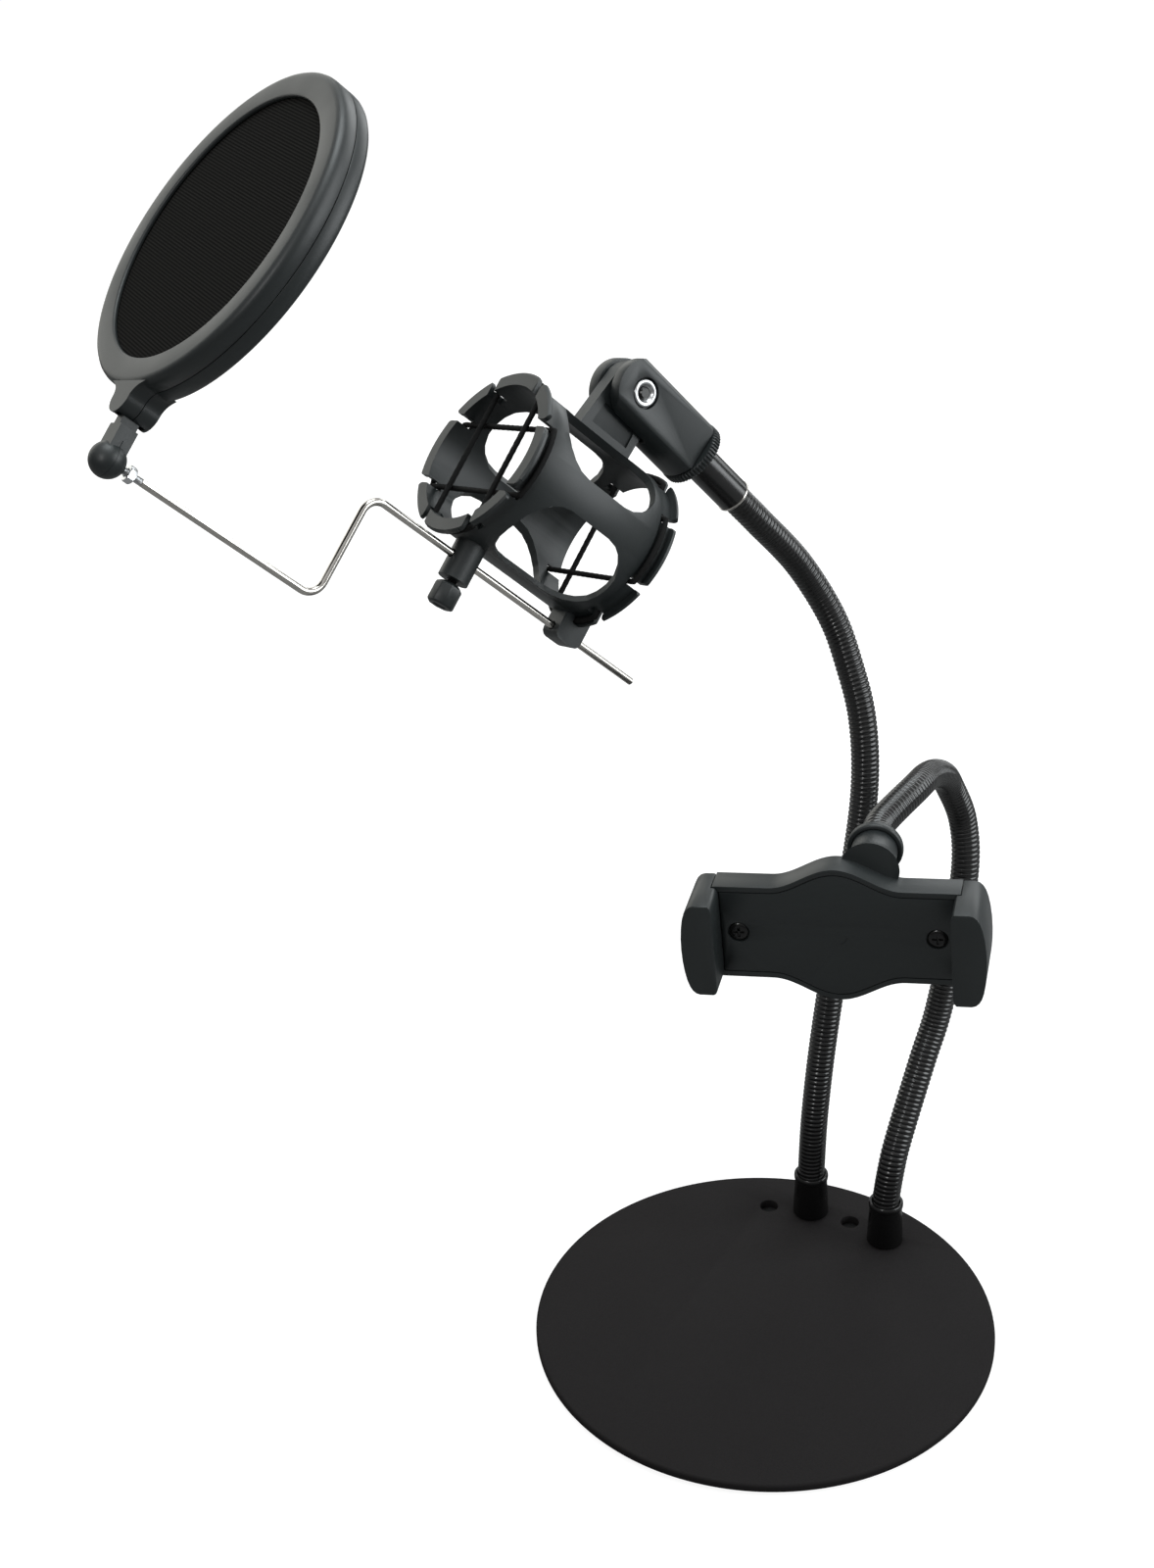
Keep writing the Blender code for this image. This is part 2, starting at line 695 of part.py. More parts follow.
def make_cords():
    pivot = head_point(PIVOT_U, PIVOT_V)
    loops = (
        ("front_cord_upright", CORD_FRONT - CORD_STEP, 0, UPRIGHT_SPREAD),
        ("front_cord_cross", CORD_FRONT + CORD_STEP, 90, CROSS_SPREAD),
        ("rear_cord_upright", CORD_REAR + CORD_STEP, 0, UPRIGHT_SPREAD),
        ("rear_cord_cross", CORD_REAR - CORD_STEP, 90, CROSS_SPREAD),
    )
    for name, u, turn_deg, spread in loops:
        points = cord_loop(u, turn_deg, spread)
        rings = []
        for i, point in enumerate(points):
            before, after = points[i - 1], points[(i + 1) % len(points)]
            along = (after - before).normalized()
            outward = along.cross(Vector((1, 0, 0))).normalized()
            ring = []
            for side in range(6):
                angle = math.pi * side / 3
                spoke = outward * math.cos(angle) + Vector((1, 0, 0)) * math.sin(angle)
                ring.append(point + CORD_RADIUS * spoke)
            rings.append(ring)
        new_object(name, mesh_from(loft(rings, closed=True), name), RUBBER, HEAD, pivot)


def make_clamp_screw():
    """The thumb screw under the basket, whose tip presses on the wire."""
    tip = WIRE_V - WIRE_BORE
    knob = WIRE_V - 10.0
    profile = [
        (0.0, tip),
        (2.1, tip - 0.4),
        (2.1, knob + 1.0),
        (3.6, knob),
        (5.0, knob - 1.5),
        (5.6, knob - 4.0),
        (5.6, knob - 8.6),
        (4.8, knob - 9.6),
        (0.0, knob - 9.6),
    ]
    screw = mesh_from(turned(profile, "y", 10, (CLAMP_U, 0, 0)), "clamp_screw")
    new_object("clamp_screw", screw, PLASTIC, HEAD, head_point(CLAMP_U, WIRE_V))


# ---- wire arm ----


def bend_points(corner, before, after, radius, steps=5):
    """A round corner between two straight runs that meet at a right angle."""
    corner = Vector(corner)
    d_in = (Vector(before) - corner).normalized()
    d_out = (Vector(after) - corner).normalized()
    centre = corner + radius * (d_in + d_out)
    points = []
    for i in range(steps + 1):
        angle = math.pi / 2 * i / steps
        points.append(centre - radius * (d_out * math.cos(angle) + d_in * math.sin(angle)))
    return points


def make_wire():
    tail = (WIRE_TAIL_U, WIRE_V, 0)
    upper = (WIRE_BEND_U, WIRE_V, 0)
    lower = (WIRE_BEND_U, WIRE_LOW_V, 0)
    tip = (WIRE_TIP_U - WIRE_INSIDE, WIRE_LOW_V, 0)
    route = [Vector(tail)]
    route += bend_points(upper, tail, lower, BEND_RADIUS)
    route += bend_points(lower, upper, tip, BEND_RADIUS)
    route.append(Vector(tip))
    world = [HEAD @ point / MM for point in route]
    swept("filter_wire", world, WIRE_RADIUS, STEEL, 3, head_point(CLAMP_U, WIRE_V))
    nut = prism(polygon(3.3, 6), WIRE_TIP_U + 0.6, WIRE_TIP_U + 3.4, "x", (0, WIRE_LOW_V, 0))
    bore = turned([(WIRE_RADIUS + GAP, -140), (WIRE_RADIUS + GAP, -100)], "x", 16, (0, WIRE_LOW_V, 0))
    combine("wire_nut", nut, [("DIFFERENCE", bore)], HEAD, ZINC, head_point(WIRE_TIP_U, WIRE_LOW_V))


def hoop_frame():
    """Local x is the hoop's axis, y runs from the ball to the hoop's centre, z across."""
    ball = Vector((BALL_U, WIRE_LOW_V, 0))
    rise = HOOP_CENTRE - ball
    rise.x = 0.0
    distance = rise.length
    up = rise.normalized()
    across = Vector((1, 0, 0)).cross(up)
    centre = Vector((HOOP_CENTRE.x, ball.y, ball.z)) + up * distance
    rotation = Matrix((Vector((1, 0, 0)), up, across)).transposed().to_4x4()
    return HEAD @ Matrix.Translation(centre) @ rotation, distance


HOOP, BALL_DISTANCE = hoop_frame()


def make_ball_stem():
    """The ball shell that turns on the wire's end, with the flat stem that carries the hoop."""
    ball_x = BALL_U - HOOP_CENTRE.x
    low = -BALL_DISTANCE
    steps = 12
    profile = []
    for i in range(steps + 1):
        angle = math.pi * i / steps
        profile.append((BALL_RADIUS * math.sin(angle), ball_x - BALL_RADIUS * math.cos(angle)))
    ball = turned(profile, "x", 24, (0, low, 0))
    eye = prism(arc((0, low + BOSS_FROM_BALL), 3.6, 0, 360, 16)[:-1], -2.2, 2.2)
    neck = box((-3.4, low + 9, -2.2), (3.4, low + BOSS_FROM_BALL, 2.2))
    block = box((ball_x - 3.6, low, -4.2), (ball_x + 3.6, low + 12.5, 4.2))
    wire_bore = turned([(WIRE_BORE, ball_x + 1), (WIRE_BORE, ball_x + 12)], "x", 16, (0, low, 0))
    pin_bore = turned([(1.6, -9), (1.6, 9)], "z", 12, (0, low + BOSS_FROM_BALL, 0))
    tools = [
        ("UNION", block),
        ("UNION", neck),
        ("UNION", eye),
        ("DIFFERENCE", wire_bore),
        ("DIFFERENCE", pin_bore),
    ]
    combine("ball_stem", ball, tools, HOOP, PLASTIC, head_point(BALL_U, WIRE_LOW_V))


def boss_outline(pivot_y, steps):
    """The boss under the hoop as (y, z) points: round below, spreading into the rim above."""
    blend = [(1.6, 6.3), (3.3, 7.3), (4.7, 9.2), (6.3, 12.0)]
    right = [(pivot_y + y, -z) for y, z in blend]
    left = [(pivot_y + y, z) for y, z in reversed(blend)]
    return arc((pivot_y, 0), BOSS_RADIUS, 90, 270, steps) + right + left


def hoop_half(name, front):
    """One of the two moulded halves of the hoop, with its half of the socket boss."""
    half = HOOP_THICK / 2
    sign = -1 if front else 1
    seam = sign * 0.15
    face = sign * half
    seat = sign * (half - LIP_THICK)
    profile = [
        (HOOP_RADIUS, seam),
        (HOOP_RADIUS, sign * (half - 3.8)),
        (HOOP_RADIUS - 1.0, sign * (half - 1.8)),
        (HOOP_RADIUS - 3.4, face),
        (HOOP_OPENING + 1.0, face),
        (HOOP_OPENING, sign * (half - 1.0)),
        (HOOP_OPENING, seat),
        (MESH_RADIUS + GAP, seat),
        (MESH_RADIUS + GAP, seam),
        (HOOP_RADIUS, seam),
    ]
    pivot_y = -BALL_DISTANCE + BOSS_FROM_BALL
    boss_rings = []
    for x in sorted((seam, face - sign * 0.2)):
        boss_rings.append([Vector((x, y, z)) for y, z in boss_outline(pivot_y, 10)])
    pocket = box((-5.9, pivot_y - 20, -2.5), (5.9, pivot_y + 4.0, 2.5))
    pin = turned([(1.7, -4.7), (1.7, 4.7)], "z", 12, (0, pivot_y, 0))
    tools = [("UNION", loft(boss_rings)), ("DIFFERENCE", pocket), ("DIFFERENCE", pin)]
    combine(name, turned(profile, "x", 64), tools, HOOP, PLASTIC, hoop_pivot())


def hoop_pivot():
    return HOOP @ Vector((0, -BALL_DISTANCE + BOSS_FROM_BALL, 0)) / MM


def make_hoop():
    hoop_half("hoop_front_shell", True)
    hoop_half("hoop_rear_shell", False)
    seat = HOOP_THICK / 2 - LIP_THICK - GAP
    for name, sign in (("mesh_front", -1), ("mesh_rear", 1)):
        low, high = sorted((sign * (seat - MESH_THICK), sign * seat))
        disc = turned([(MESH_RADIUS, low), (MESH_RADIUS, high)], "x", 48)
        new_object(name, mesh_from(disc, name), FABRIC, HOOP, hoop_pivot())
    pivot_y = -BALL_DISTANCE + BOSS_FROM_BALL
    pin = turned([(1.3, -4.4), (1.3, 4.4)], "z", 10, (0, pivot_y, 0))
    new_object("hoop_pivot_pin", mesh_from(pin, "pin"), STEEL, HOOP, hoop_pivot())


# ---- phone clamp ----


def wavy_outline(inset, half_width, steps=10):
    """The clamp's outline as (z, x) points: flat at both ends with a round bulge in the middle."""

    def edge(x):
        swell = 0.0
        if abs(x) < BUMP_HALF:
            swell = (PLATE_HIGH - PLATE_LOW) * 0.5 * (1 + math.cos(math.pi * x / BUMP_HALF))
        return PLATE_LOW + swell - inset

    xs = [-half_width] + [BUMP_HALF * (2 * i / steps - 1) for i in range(steps + 1)] + [half_width]
    return [(edge(x), x) for x in xs] + [(-edge(x), x) for x in reversed(xs)]


def screw_places():
    return [(-PHONE_SCREW_X, 0.0), (PHONE_SCREW_X, 0.0)]


def make_phone_shells():
    origin = PHONE @ Vector((SOCKET_X, SHELL_DEPTH + 8, SOCKET_Z)) / MM
    hollow_front, hollow_back = 2.3, 8.3
    shell = prism(wavy_outline(0.0, PLATE_HALF), 0.0, SHELL_DEPTH, "y")
    hollow = prism(wavy_outline(2.2, PLATE_HALF - 2.2), -1.0, hollow_back, "y")
    ends = box((-PLATE_HALF - 5, 3.4, -15.6), (PLATE_HALF + 5, hollow_back, 15.6))
    tools = [("DIFFERENCE", hollow), ("DIFFERENCE", ends)]
    for x, z in screw_places():
        tools.append(("UNION", turned([(3.2, hollow_front + GAP), (3.2, 9.0)], "y", 16, (x, 0, z))))
        tools.append(("DIFFERENCE", turned([(1.8, 0.0), (1.8, 8.0)], "y", 12, (x, 0, z))))
    tools.append(("UNION", turned([(3.0, 3.0), (3.0, 9.0)], "y", 12)))
    outer = [
        (SOCKET_RADIUS + 2.5, 9.5),
        (SOCKET_RADIUS + 0.8, 13.0),
        (SOCKET_RADIUS, 17.0),
        (SOCKET_RADIUS, 27.0),
    ]
    tools.append(("UNION", turned(outer, "y", 24, (SOCKET_X, 0, SOCKET_Z))))
    inner = [
        (0.0, BALL_STUD_Y - 7.6),
        (4.2, BALL_STUD_Y - 6.2),
        (6.6, BALL_STUD_Y - 3.0),
        (7.1, BALL_STUD_Y),
        (7.2, 35.0),
    ]
    tools.append(("DIFFERENCE", turned(inner, "y", 20, (SOCKET_X, 0, SOCKET_Z))))
    combine("clamp_back_shell", shell, tools, PHONE, PLASTIC, origin)

    plate = prism(wavy_outline(2.6, PLATE_HALF - 2.6), 0.0, 2.0, "y")
    tools = []
    for x, z in screw_places():
        tools.append(("DIFFERENCE", turned([(4.3, -1.0), (4.3, 1.4)], "y", 20, (x, 0, z))))
        tools.append(("DIFFERENCE", turned([(1.8, -1.0), (1.8, 4.0)], "y", 12, (x, 0, z))))
    combine("clamp_front_plate", plate, tools, PHONE, PLASTIC, origin)

    for side, (x, z) in zip(("left", "right"), screw_places()):
        profile = [(0.0, 0.0), (3.2, 0.0), (3.9, 0.5), (3.9, 1.1), (1.4, 1.1), (1.4, 7.0), (0.0, 7.0)]
        head = turned(profile, "y", 16, (x, 0, z))
        slot_a = box((x - 2.2, -1.0, z - 0.45), (x + 2.2, 0.6, z + 0.45))
        slot_b = box((x - 0.45, -1.0, z - 2.2), (x + 0.45, 0.6, z + 2.2))
        tools = [("DIFFERENCE", slot_a), ("DIFFERENCE", slot_b)]
        combine(f"clamp_screw_{side}", head, tools, PHONE, BLACK_STEEL, origin)


def make_ball_stud():
    """The ball on the phone gooseneck's end, and the nut that holds it in the socket."""
    centre = PHONE @ Vector((SOCKET_X, BALL_STUD_Y, SOCKET_Z)) / MM
    steps = 10
    profile = []
    for i in range(steps + 1):
        angle = math.pi * i / steps * 0.86
        height = BALL_STUD_Y - BALL_STUD_RADIUS * math.cos(angle)
        profile.append((BALL_STUD_RADIUS * math.sin(angle), height))
    profile += [(2.8, BALL_STUD_Y + 7.0), (2.8, 31.4), (5.2, 32.2), (5.2, 34.0), (0.0, 34.0)]
    stud = turned(profile, "y", 20, (SOCKET_X, 0, SOCKET_Z))
    new_object("ball_stud", mesh_from(stud, "ball_stud"), BLACK_STEEL, PHONE, centre)
    inner = SOCKET_RADIUS + GAP
    outline = [
        (inner, 24.8),
        (10.7, 24.8),
        (11.0, 25.5),
        (11.0, 28.2),
        (10.0, 29.6),
        (7.6, 30.4),
        (5.8, 30.4),
        (6.4, 28.0),
        (inner, 27.6),
        (inner, 24.8),
    ]
    ring = turned(outline, "y", 32, (SOCKET_X, 0, SOCKET_Z))
    new_object("ball_nut", mesh_from(ring, "ball_nut"), PLASTIC, PHONE, centre)


def make_jaw(name, side):
    """A jaw block with two rails that slide inside the housing, on either side of its screw."""
    quarter = [(JAW_INNER, 17.0), (JAW_INNER + 1.2, 20.0), (54.0, 19.6), (56.6, 16.0), (58.0, 9.0)]
    face = [(x, -z) for x, z in reversed(quarter)] + quarter + [(JAW_OUTER, 0.0)]
    outline = [(z, side * x) for x, z in face]
    block = prism(outline, JAW_FRONT, SHELL_DEPTH - 0.2, "y")
    clearance = box((-PLATE_HALF - GAP, -GAP, -40), (PLATE_HALF + GAP, SHELL_DEPTH + 5, 40))
    tools = [("DIFFERENCE", clearance)]
    bridge = 21.0
    rails = []
    for z_sign in (-1, 1):
        low_z, high_z = sorted((z_sign * 5.0, z_sign * 13.5))
        low_x, high_x = sorted((side * bridge, side * (PLATE_HALF + 4)))
        rails.append(box((low_x, 3.8, low_z), (high_x, 7.8, high_z)))
    low_x, high_x = sorted((side * bridge, side * (bridge + 3.0)))
    rails.append(box((low_x, 3.8, -13.5), (high_x, 7.8, 13.5)))
    tools += [("UNION", rail) for rail in rails]
    origin = PHONE @ Vector((side * JAW_INNER, 0, 0)) / MM
    combine(name, block, tools, PHONE, PLASTIC, origin)


def make_spring(name, side):
    start, end, turns, radius = 4.2, 20.0, 7, 2.0
    steps = turns * 8
    points = []
    for i in range(steps + 1):
        angle = 2 * math.pi * turns * i / steps
        x = side * (start + (end - start) * i / steps)
        local = Vector((x, 5.8 + radius * math.cos(angle), radius * math.sin(angle)))
        points.append(PHONE @ local / MM)
    swept(name, points, 0.35, STEEL, 1, PHONE @ Vector((side * start, 5.8, 0)) / MM)


def main():
    clear_scene()
    make_base()
    make_foot("mic", MIC_FOOT)
    make_foot("phone", PHONE_FOOT)
    make_neck("mic_neck", mic_neck_knots())
    make_neck("phone_neck", phone_neck_knots())
    make_neck_top()
    make_swivel()
    make_basket()
    make_cords()
    make_clamp_screw()
    make_wire()
    make_ball_stem()
    make_hoop()
    make_phone_shells()
    make_ball_stud()
    for name, side in (("left", -1), ("right", 1)):
        make_jaw(f"clamp_jaw_{name}", side)
        make_spring(f"clamp_spring_{name}", side)


main()
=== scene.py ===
"""The looks of the desk stand with its pop filter, shock mount and phone clamp.

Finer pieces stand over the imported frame's nodes and ride on their bodies. Then come the materials, the
floor, the lights and the camera. Pieces are drawn in millimetres in the same local frames as the CAD
model, so the sizes named below are the CAD model's own, apart from the few that only the looks have.
"""

import json
import math

import bmesh
import bpy
from mathutils import Matrix, Vector


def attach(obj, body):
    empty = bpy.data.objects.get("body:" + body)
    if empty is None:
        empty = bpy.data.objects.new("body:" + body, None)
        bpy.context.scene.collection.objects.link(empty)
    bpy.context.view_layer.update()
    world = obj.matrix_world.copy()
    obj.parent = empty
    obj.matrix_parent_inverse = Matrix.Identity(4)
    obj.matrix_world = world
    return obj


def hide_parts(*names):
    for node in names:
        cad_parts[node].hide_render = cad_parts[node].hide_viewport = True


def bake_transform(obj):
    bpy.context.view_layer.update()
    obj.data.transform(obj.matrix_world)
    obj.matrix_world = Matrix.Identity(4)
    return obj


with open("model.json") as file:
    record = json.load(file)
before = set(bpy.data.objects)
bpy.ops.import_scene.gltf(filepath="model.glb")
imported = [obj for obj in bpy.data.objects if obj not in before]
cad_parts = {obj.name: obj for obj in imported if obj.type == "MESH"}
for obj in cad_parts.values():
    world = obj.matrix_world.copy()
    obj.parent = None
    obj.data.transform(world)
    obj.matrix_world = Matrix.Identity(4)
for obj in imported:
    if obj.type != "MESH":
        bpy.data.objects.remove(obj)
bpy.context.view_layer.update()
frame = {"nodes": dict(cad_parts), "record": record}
BODIES = frame["record"]["behaviour"]["bodies"]
BODY_OF = {node: body for body, nodes in BODIES.items() for node in nodes}
SLOT_OF = {part["node"]: part["material_slot"] for part in frame["record"]["subparts"]}

MM = 0.001
GAP = 0.3

# Base
BASE_RADIUS = 100.0
PAD_THICK = 1.0
PLATE_THICK = 4.0
PLATE_BOTTOM = PAD_THICK + GAP
PLATE_TOP = PLATE_BOTTOM + PLATE_THICK
HOLE_CIRCLE = 78.0
HOLE_PITCH_DEG = 14.4
HOLE_RADIUS = 4.25
SCREW_HEAD_RADIUS = 6.0
FERRULE_HEIGHT = 22.0
FERRULE_BASE = PLATE_TOP + GAP
FERRULE_TOP = FERRULE_BASE + FERRULE_HEIGHT

# Goosenecks
TUBE_RADIUS = 6.2
NECK_LINKS = 7
NECK_FOOT_Z = FERRULE_TOP - 6.5

# The head frame: u runs back along the microphone, v up, w to the side
HEAD_ORIGIN = Vector((-112.1, -5.3, 388.2))
HEAD_AZIMUTH_DEG = 53.56
HEAD_DIP_DEG = 43.83
HEAD_ROLL_DEG = -16.2

# Shock mount basket, along u
BASKET_INNER = 29.4
BASKET_OUTER = 31.8
FLANGE_RADIUS = 35.2
REAR_FLANGE_RADIUS = 34.8
FRONT_FACE = -4.6
REAR_FACE = 70.6
FLANGE_THICK = 1.9
CORD_FRONT = 0.0
CORD_REAR = 66.0
CORD_RADIUS = 1.1
CORD_STEP = 1.2
CORD_REACH = BASKET_OUTER + CORD_RADIUS + 0.35
UPRIGHT_SPREAD = 14.6
CROSS_SPREAD = 13.9
SLOT_WIDTH = 3.2

# Swivel, in the head frame
PIVOT_U = 43.0
PIVOT_V = 56.5
BARREL_RADIUS = 13.6
SWIVEL_DROP_DEG = 5.0
BARREL_END = 80.0
TONGUE_HALF = 3.2
TONGUE_RADIUS = 12.6
SEAT_DEPTH = 2.6
SEAT_RADIUS = 6.3
BOLT_RADIUS = 2.5
BOLT_HOLE = BOLT_RADIUS + GAP
TIP_RADIUS = 5.0
WASHER_THICK = 0.7
CHEEK_HALF = 9.9
COLLAR_FRONT = BARREL_END + GAP
COLLAR_REAR = 84.2
NECK_END_U = 105.0

# Wire arm, in the head frame
WIRE_RADIUS = 1.5
WIRE_BORE = WIRE_RADIUS + 0.35
WIRE_V = -39.0
WIRE_LOW_V = -83.0
WIRE_TAIL_U = 108.0
WIRE_BEND_U = -37.0
WIRE_TIP_U = -124.5
WIRE_INSIDE = 4.0
BEND_RADIUS = 7.0
BALL_U = -132.0
BALL_RADIUS = 6.6
CLAMP_U = 11.0

# Pop filter
HOOP_RADIUS = 64.5
HOOP_OPENING = 53.5
HOOP_THICK = 14.0
HOOP_CENTRE = Vector((-132.0, 6.9, -3.3))
MESH_RADIUS = 58.0
MESH_THICK = 0.65
BOSS_FROM_BALL = 21.0
BOSS_RADIUS = 6.0
LIP_THICK = 1.6

# Phone clamp frame: x along the jaws, y away from the phone, z up
PHONE_ORIGIN = Vector((33.9, -9.3, 214.9))
PHONE_YAW_DEG = 13.8
PHONE_ROLL_DEG = -3.9
PLATE_HALF = 47.8
PLATE_LOW = 20.2
PLATE_HIGH = 29.0
BUMP_HALF = 26.0
SHELL_DEPTH = 11.5
SHELL_WALL = 2.2
RAIL_FRONT = 3.8
RAIL_BACK = 7.8
RAIL_INNER = 5.0
RAIL_OUTER = 13.5
JAW_INNER = 45.4
JAW_OUTER = 58.5
JAW_FRONT = -15.5
SOCKET_X = 12.5
SOCKET_Z = 24.5
SOCKET_RADIUS = 9.0
BALL_STUD_Y = 21.5
NECK_END_Y = 34.5
PHONE_SCREW_X = 38.6

# Details that only the looks have
THREAD_LENGTH = 7.0
RIB_PITCH = 2.1
RIB_DEPTH = 0.36
RING_STEP = 0.26
NECK_SIDES = 28
RING_TEETH = 56
QUARTERS = [math.pi / 2 * i / 4 for i in range(5)]

# Stage
CAMERA_PLACE = Vector((0.30394, -0.70766, 0.67295))
CAMERA_RIGHT = Vector((0.88555, 0.46322, -0.03495))
CAMERA_UP = Vector((-0.18716, 0.42465, 0.8858))
CAMERA_LENS = 51.75
CAMERA_SENSOR = 36.0
FLOOR_GLOW = 0.88
WORLD_SEEN = 1.05
WORLD_LOW = 0.2
WORLD_HIGH = 0.9


# ---- materials ----

STEEL = "steel"
ZINC = "zinc"
BLACK_STEEL = "black_steel"
POWDER = "powder_coat"
PLASTIC = "plastic"
RUBBER = "rubber"
FABRIC = "mesh_fabric"
ELASTIC = "elastic"
SLEEVE = "neck_sleeve"


def finish(colour, rough, specular, grain, metal=0.0):
    """A uniform finish; grain is the fine noise's scale, its bump and the spread of the roughness."""
    return {"colour": colour, "rough": rough, "specular": specular, "grain": grain, "metal": metal}


FINISHES = {
    STEEL: finish((0.60, 0.575, 0.54), 0.17, 0.5, (900, 0.02, 0.04), metal=1.0),
    ZINC: finish((0.66, 0.67, 0.68), 0.30, 0.5, (1500, 0.05, 0.10), metal=1.0),
    BLACK_STEEL: finish((0.006, 0.006, 0.006), 0.22, 0.4, (1800, 0.03, 0.05)),
    POWDER: finish((0.0135, 0.0125, 0.0128), 0.88, 0.10, (1300, 0.55, 0.06)),
    PLASTIC: finish((0.013, 0.0165, 0.017), 0.44, 0.5, (1700, 0.12, 0.08)),
    RUBBER: finish((0.010, 0.010, 0.010), 0.85, 0.25, (1200, 0.2, 0.05)),
    ELASTIC: finish((0.004, 0.004, 0.004), 0.80, 0.2, (3500, 0.5, 0.05)),
    SLEEVE: finish((0.005, 0.005, 0.005), 0.22, 0.62, (1400, 0.02, 0.04)),
}
FINISH_OF_SLOT = {
    "powder_coat": POWDER,
    "rubber": RUBBER,
    "zinc": ZINC,
    "black_steel": BLACK_STEEL,
    "elastic": ELASTIC,
    "chrome_wire": STEEL,
    "mesh_fabric": FABRIC,
    "black_plastic": PLASTIC,
}


def principled(name):
    made = bpy.data.materials.new(name)
    made.use_nodes = True
    return made, made.node_tree, made.node_tree.nodes["Principled BSDF"]


MADE = {}


def material(name):
    if name not in MADE:
        MADE[name] = fabric_material() if name == FABRIC else finish_material(name)
    return MADE[name]


def finish_material(name):
    """Principled, with fine grain in its colour and relief and slow clouds in its roughness."""
    values = FINISHES[name]
    made, tree, shader = principled(f"{name}_finish")
    scale, bump, spread = values["grain"]
    shader.inputs["Metallic"].default_value = values["metal"]
    shader.inputs["Specular IOR Level"].default_value = values["specular"]
    place = tree.nodes.new("ShaderNodeTexCoord")
    fine = tree.nodes.new("ShaderNodeTexNoise")
    fine.inputs["Scale"].default_value = scale
    fine.inputs["Detail"].default_value = 3.0
    tree.links.new(place.outputs["Object"], fine.inputs["Vector"])
    cloud = tree.nodes.new("ShaderNodeTexNoise")
    cloud.inputs["Scale"].default_value = 35.0
    tree.links.new(place.outputs["Object"], cloud.inputs["Vector"])
    rough = tree.nodes.new("ShaderNodeMapRange")
    rough.inputs["To Min"].default_value = values["rough"] - spread
    rough.inputs["To Max"].default_value = values["rough"] + spread
    tree.links.new(cloud.outputs["Fac"], rough.inputs["Value"])
    tree.links.new(rough.outputs["Result"], shader.inputs["Roughness"])
    tint = tree.nodes.new("ShaderNodeMix")
    tint.data_type = "RGBA"
    dark = tuple(0.85 * c for c in values["colour"])
    light = tuple(min(1.0, 1.15 * c) for c in values["colour"])
    tint.inputs["A"].default_value = (*dark, 1.0)
    tint.inputs["B"].default_value = (*light, 1.0)
    tree.links.new(fine.outputs["Fac"], tint.inputs["Factor"])
    tree.links.new(tint.outputs["Result"], shader.inputs["Base Color"])
    relief = tree.nodes.new("ShaderNodeBump")
    relief.inputs["Strength"].default_value = bump
    relief.inputs["Distance"].default_value = 0.0002
    tree.links.new(fine.outputs["Fac"], relief.inputs["Height"])
    tree.links.new(relief.outputs["Normal"], shader.inputs["Normal"])
    return made


def fabric_material():
    """Fine woven nylon: two crossing waves for the threads."""
    made, tree, shader = principled("mesh_fabric_finish")
    shader.inputs["Roughness"].default_value = 0.9
    shader.inputs["Specular IOR Level"].default_value = 0.0
    place = tree.nodes.new("ShaderNodeTexCoord")
    heights = []
    for direction in ("X", "Z"):
        wave = tree.nodes.new("ShaderNodeTexWave")
        wave.bands_direction = direction
        wave.inputs["Scale"].default_value = 380.0
        tree.links.new(place.outputs["Object"], wave.inputs["Vector"])
        heights.append(wave)
    both = tree.nodes.new("ShaderNodeMath")
    both.operation = "MULTIPLY"
    tree.links.new(heights[0].outputs["Fac"], both.inputs[0])
    tree.links.new(heights[1].outputs["Fac"], both.inputs[1])
    tint = tree.nodes.new("ShaderNodeMix")
    tint.data_type = "RGBA"
    tint.inputs["A"].default_value = (0.008, 0.008, 0.0076, 1.0)
    tint.inputs["B"].default_value = (0.034, 0.033, 0.031, 1.0)
    tree.links.new(both.outputs["Value"], tint.inputs["Factor"])
    tree.links.new(tint.outputs["Result"], shader.inputs["Base Color"])
    return made


# ---- making pieces ----

FINE = 2
BEVEL_SEGMENTS = 2
BEVEL_ANGLE_DEG = 45
SHARP_ANGLE_DEG = 38


def settle(obj, node):
    """The piece stands for its CAD node and rides on that node's body."""
    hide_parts(node)
    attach(obj, BODY_OF[node])
    return obj


def plain_object(name, mesh, finish_name, matrix):
    mesh.transform(matrix)
    obj = bpy.data.objects.new(name, mesh)
    bpy.context.scene.collection.objects.link(obj)
    mesh.materials.append(material(finish_name))
    mesh.shade_smooth()
    mesh.set_sharp_from_angle(angle=math.radians(SHARP_ANGLE_DEG))
    return obj


def new_object(name, mesh, finish_name, matrix):
    return settle(plain_object(f"{name}_look", mesh, finish_name, matrix), name)


def shaped(name, base, tools, matrix, finish_name, bevel):
    """A base bmesh with (operation, bmesh) Booleans and an edge bevel, all applied."""
    obj = plain_object(name, mesh_from(base, name), finish_name, matrix)
    cutters = []
    for index, (operation, tool) in enumerate(tools):
        cutter = plain_object(f"{name}_tool_{index}", mesh_from(tool, name), finish_name, matrix)
        modifier = obj.modifiers.new(f"{operation}_{index}", "BOOLEAN")
        modifier.operation = operation
        modifier.object = cutter
        cutters.append(cutter)
    if bevel:
        modifier = obj.modifiers.new("edge_round", "BEVEL")
        modifier.width = bevel * MM
        modifier.segments = BEVEL_SEGMENTS
        modifier.limit_method = "ANGLE"
        modifier.angle_limit = math.radians(BEVEL_ANGLE_DEG)
    graph = bpy.context.evaluated_depsgraph_get()
    mesh = bpy.data.meshes.new_from_object(obj.evaluated_get(graph))
    for helper in [obj, *cutters]:
        bpy.data.objects.remove(helper, do_unlink=True)
    return plain_object(name, mesh, finish_name, Matrix.Identity(4))


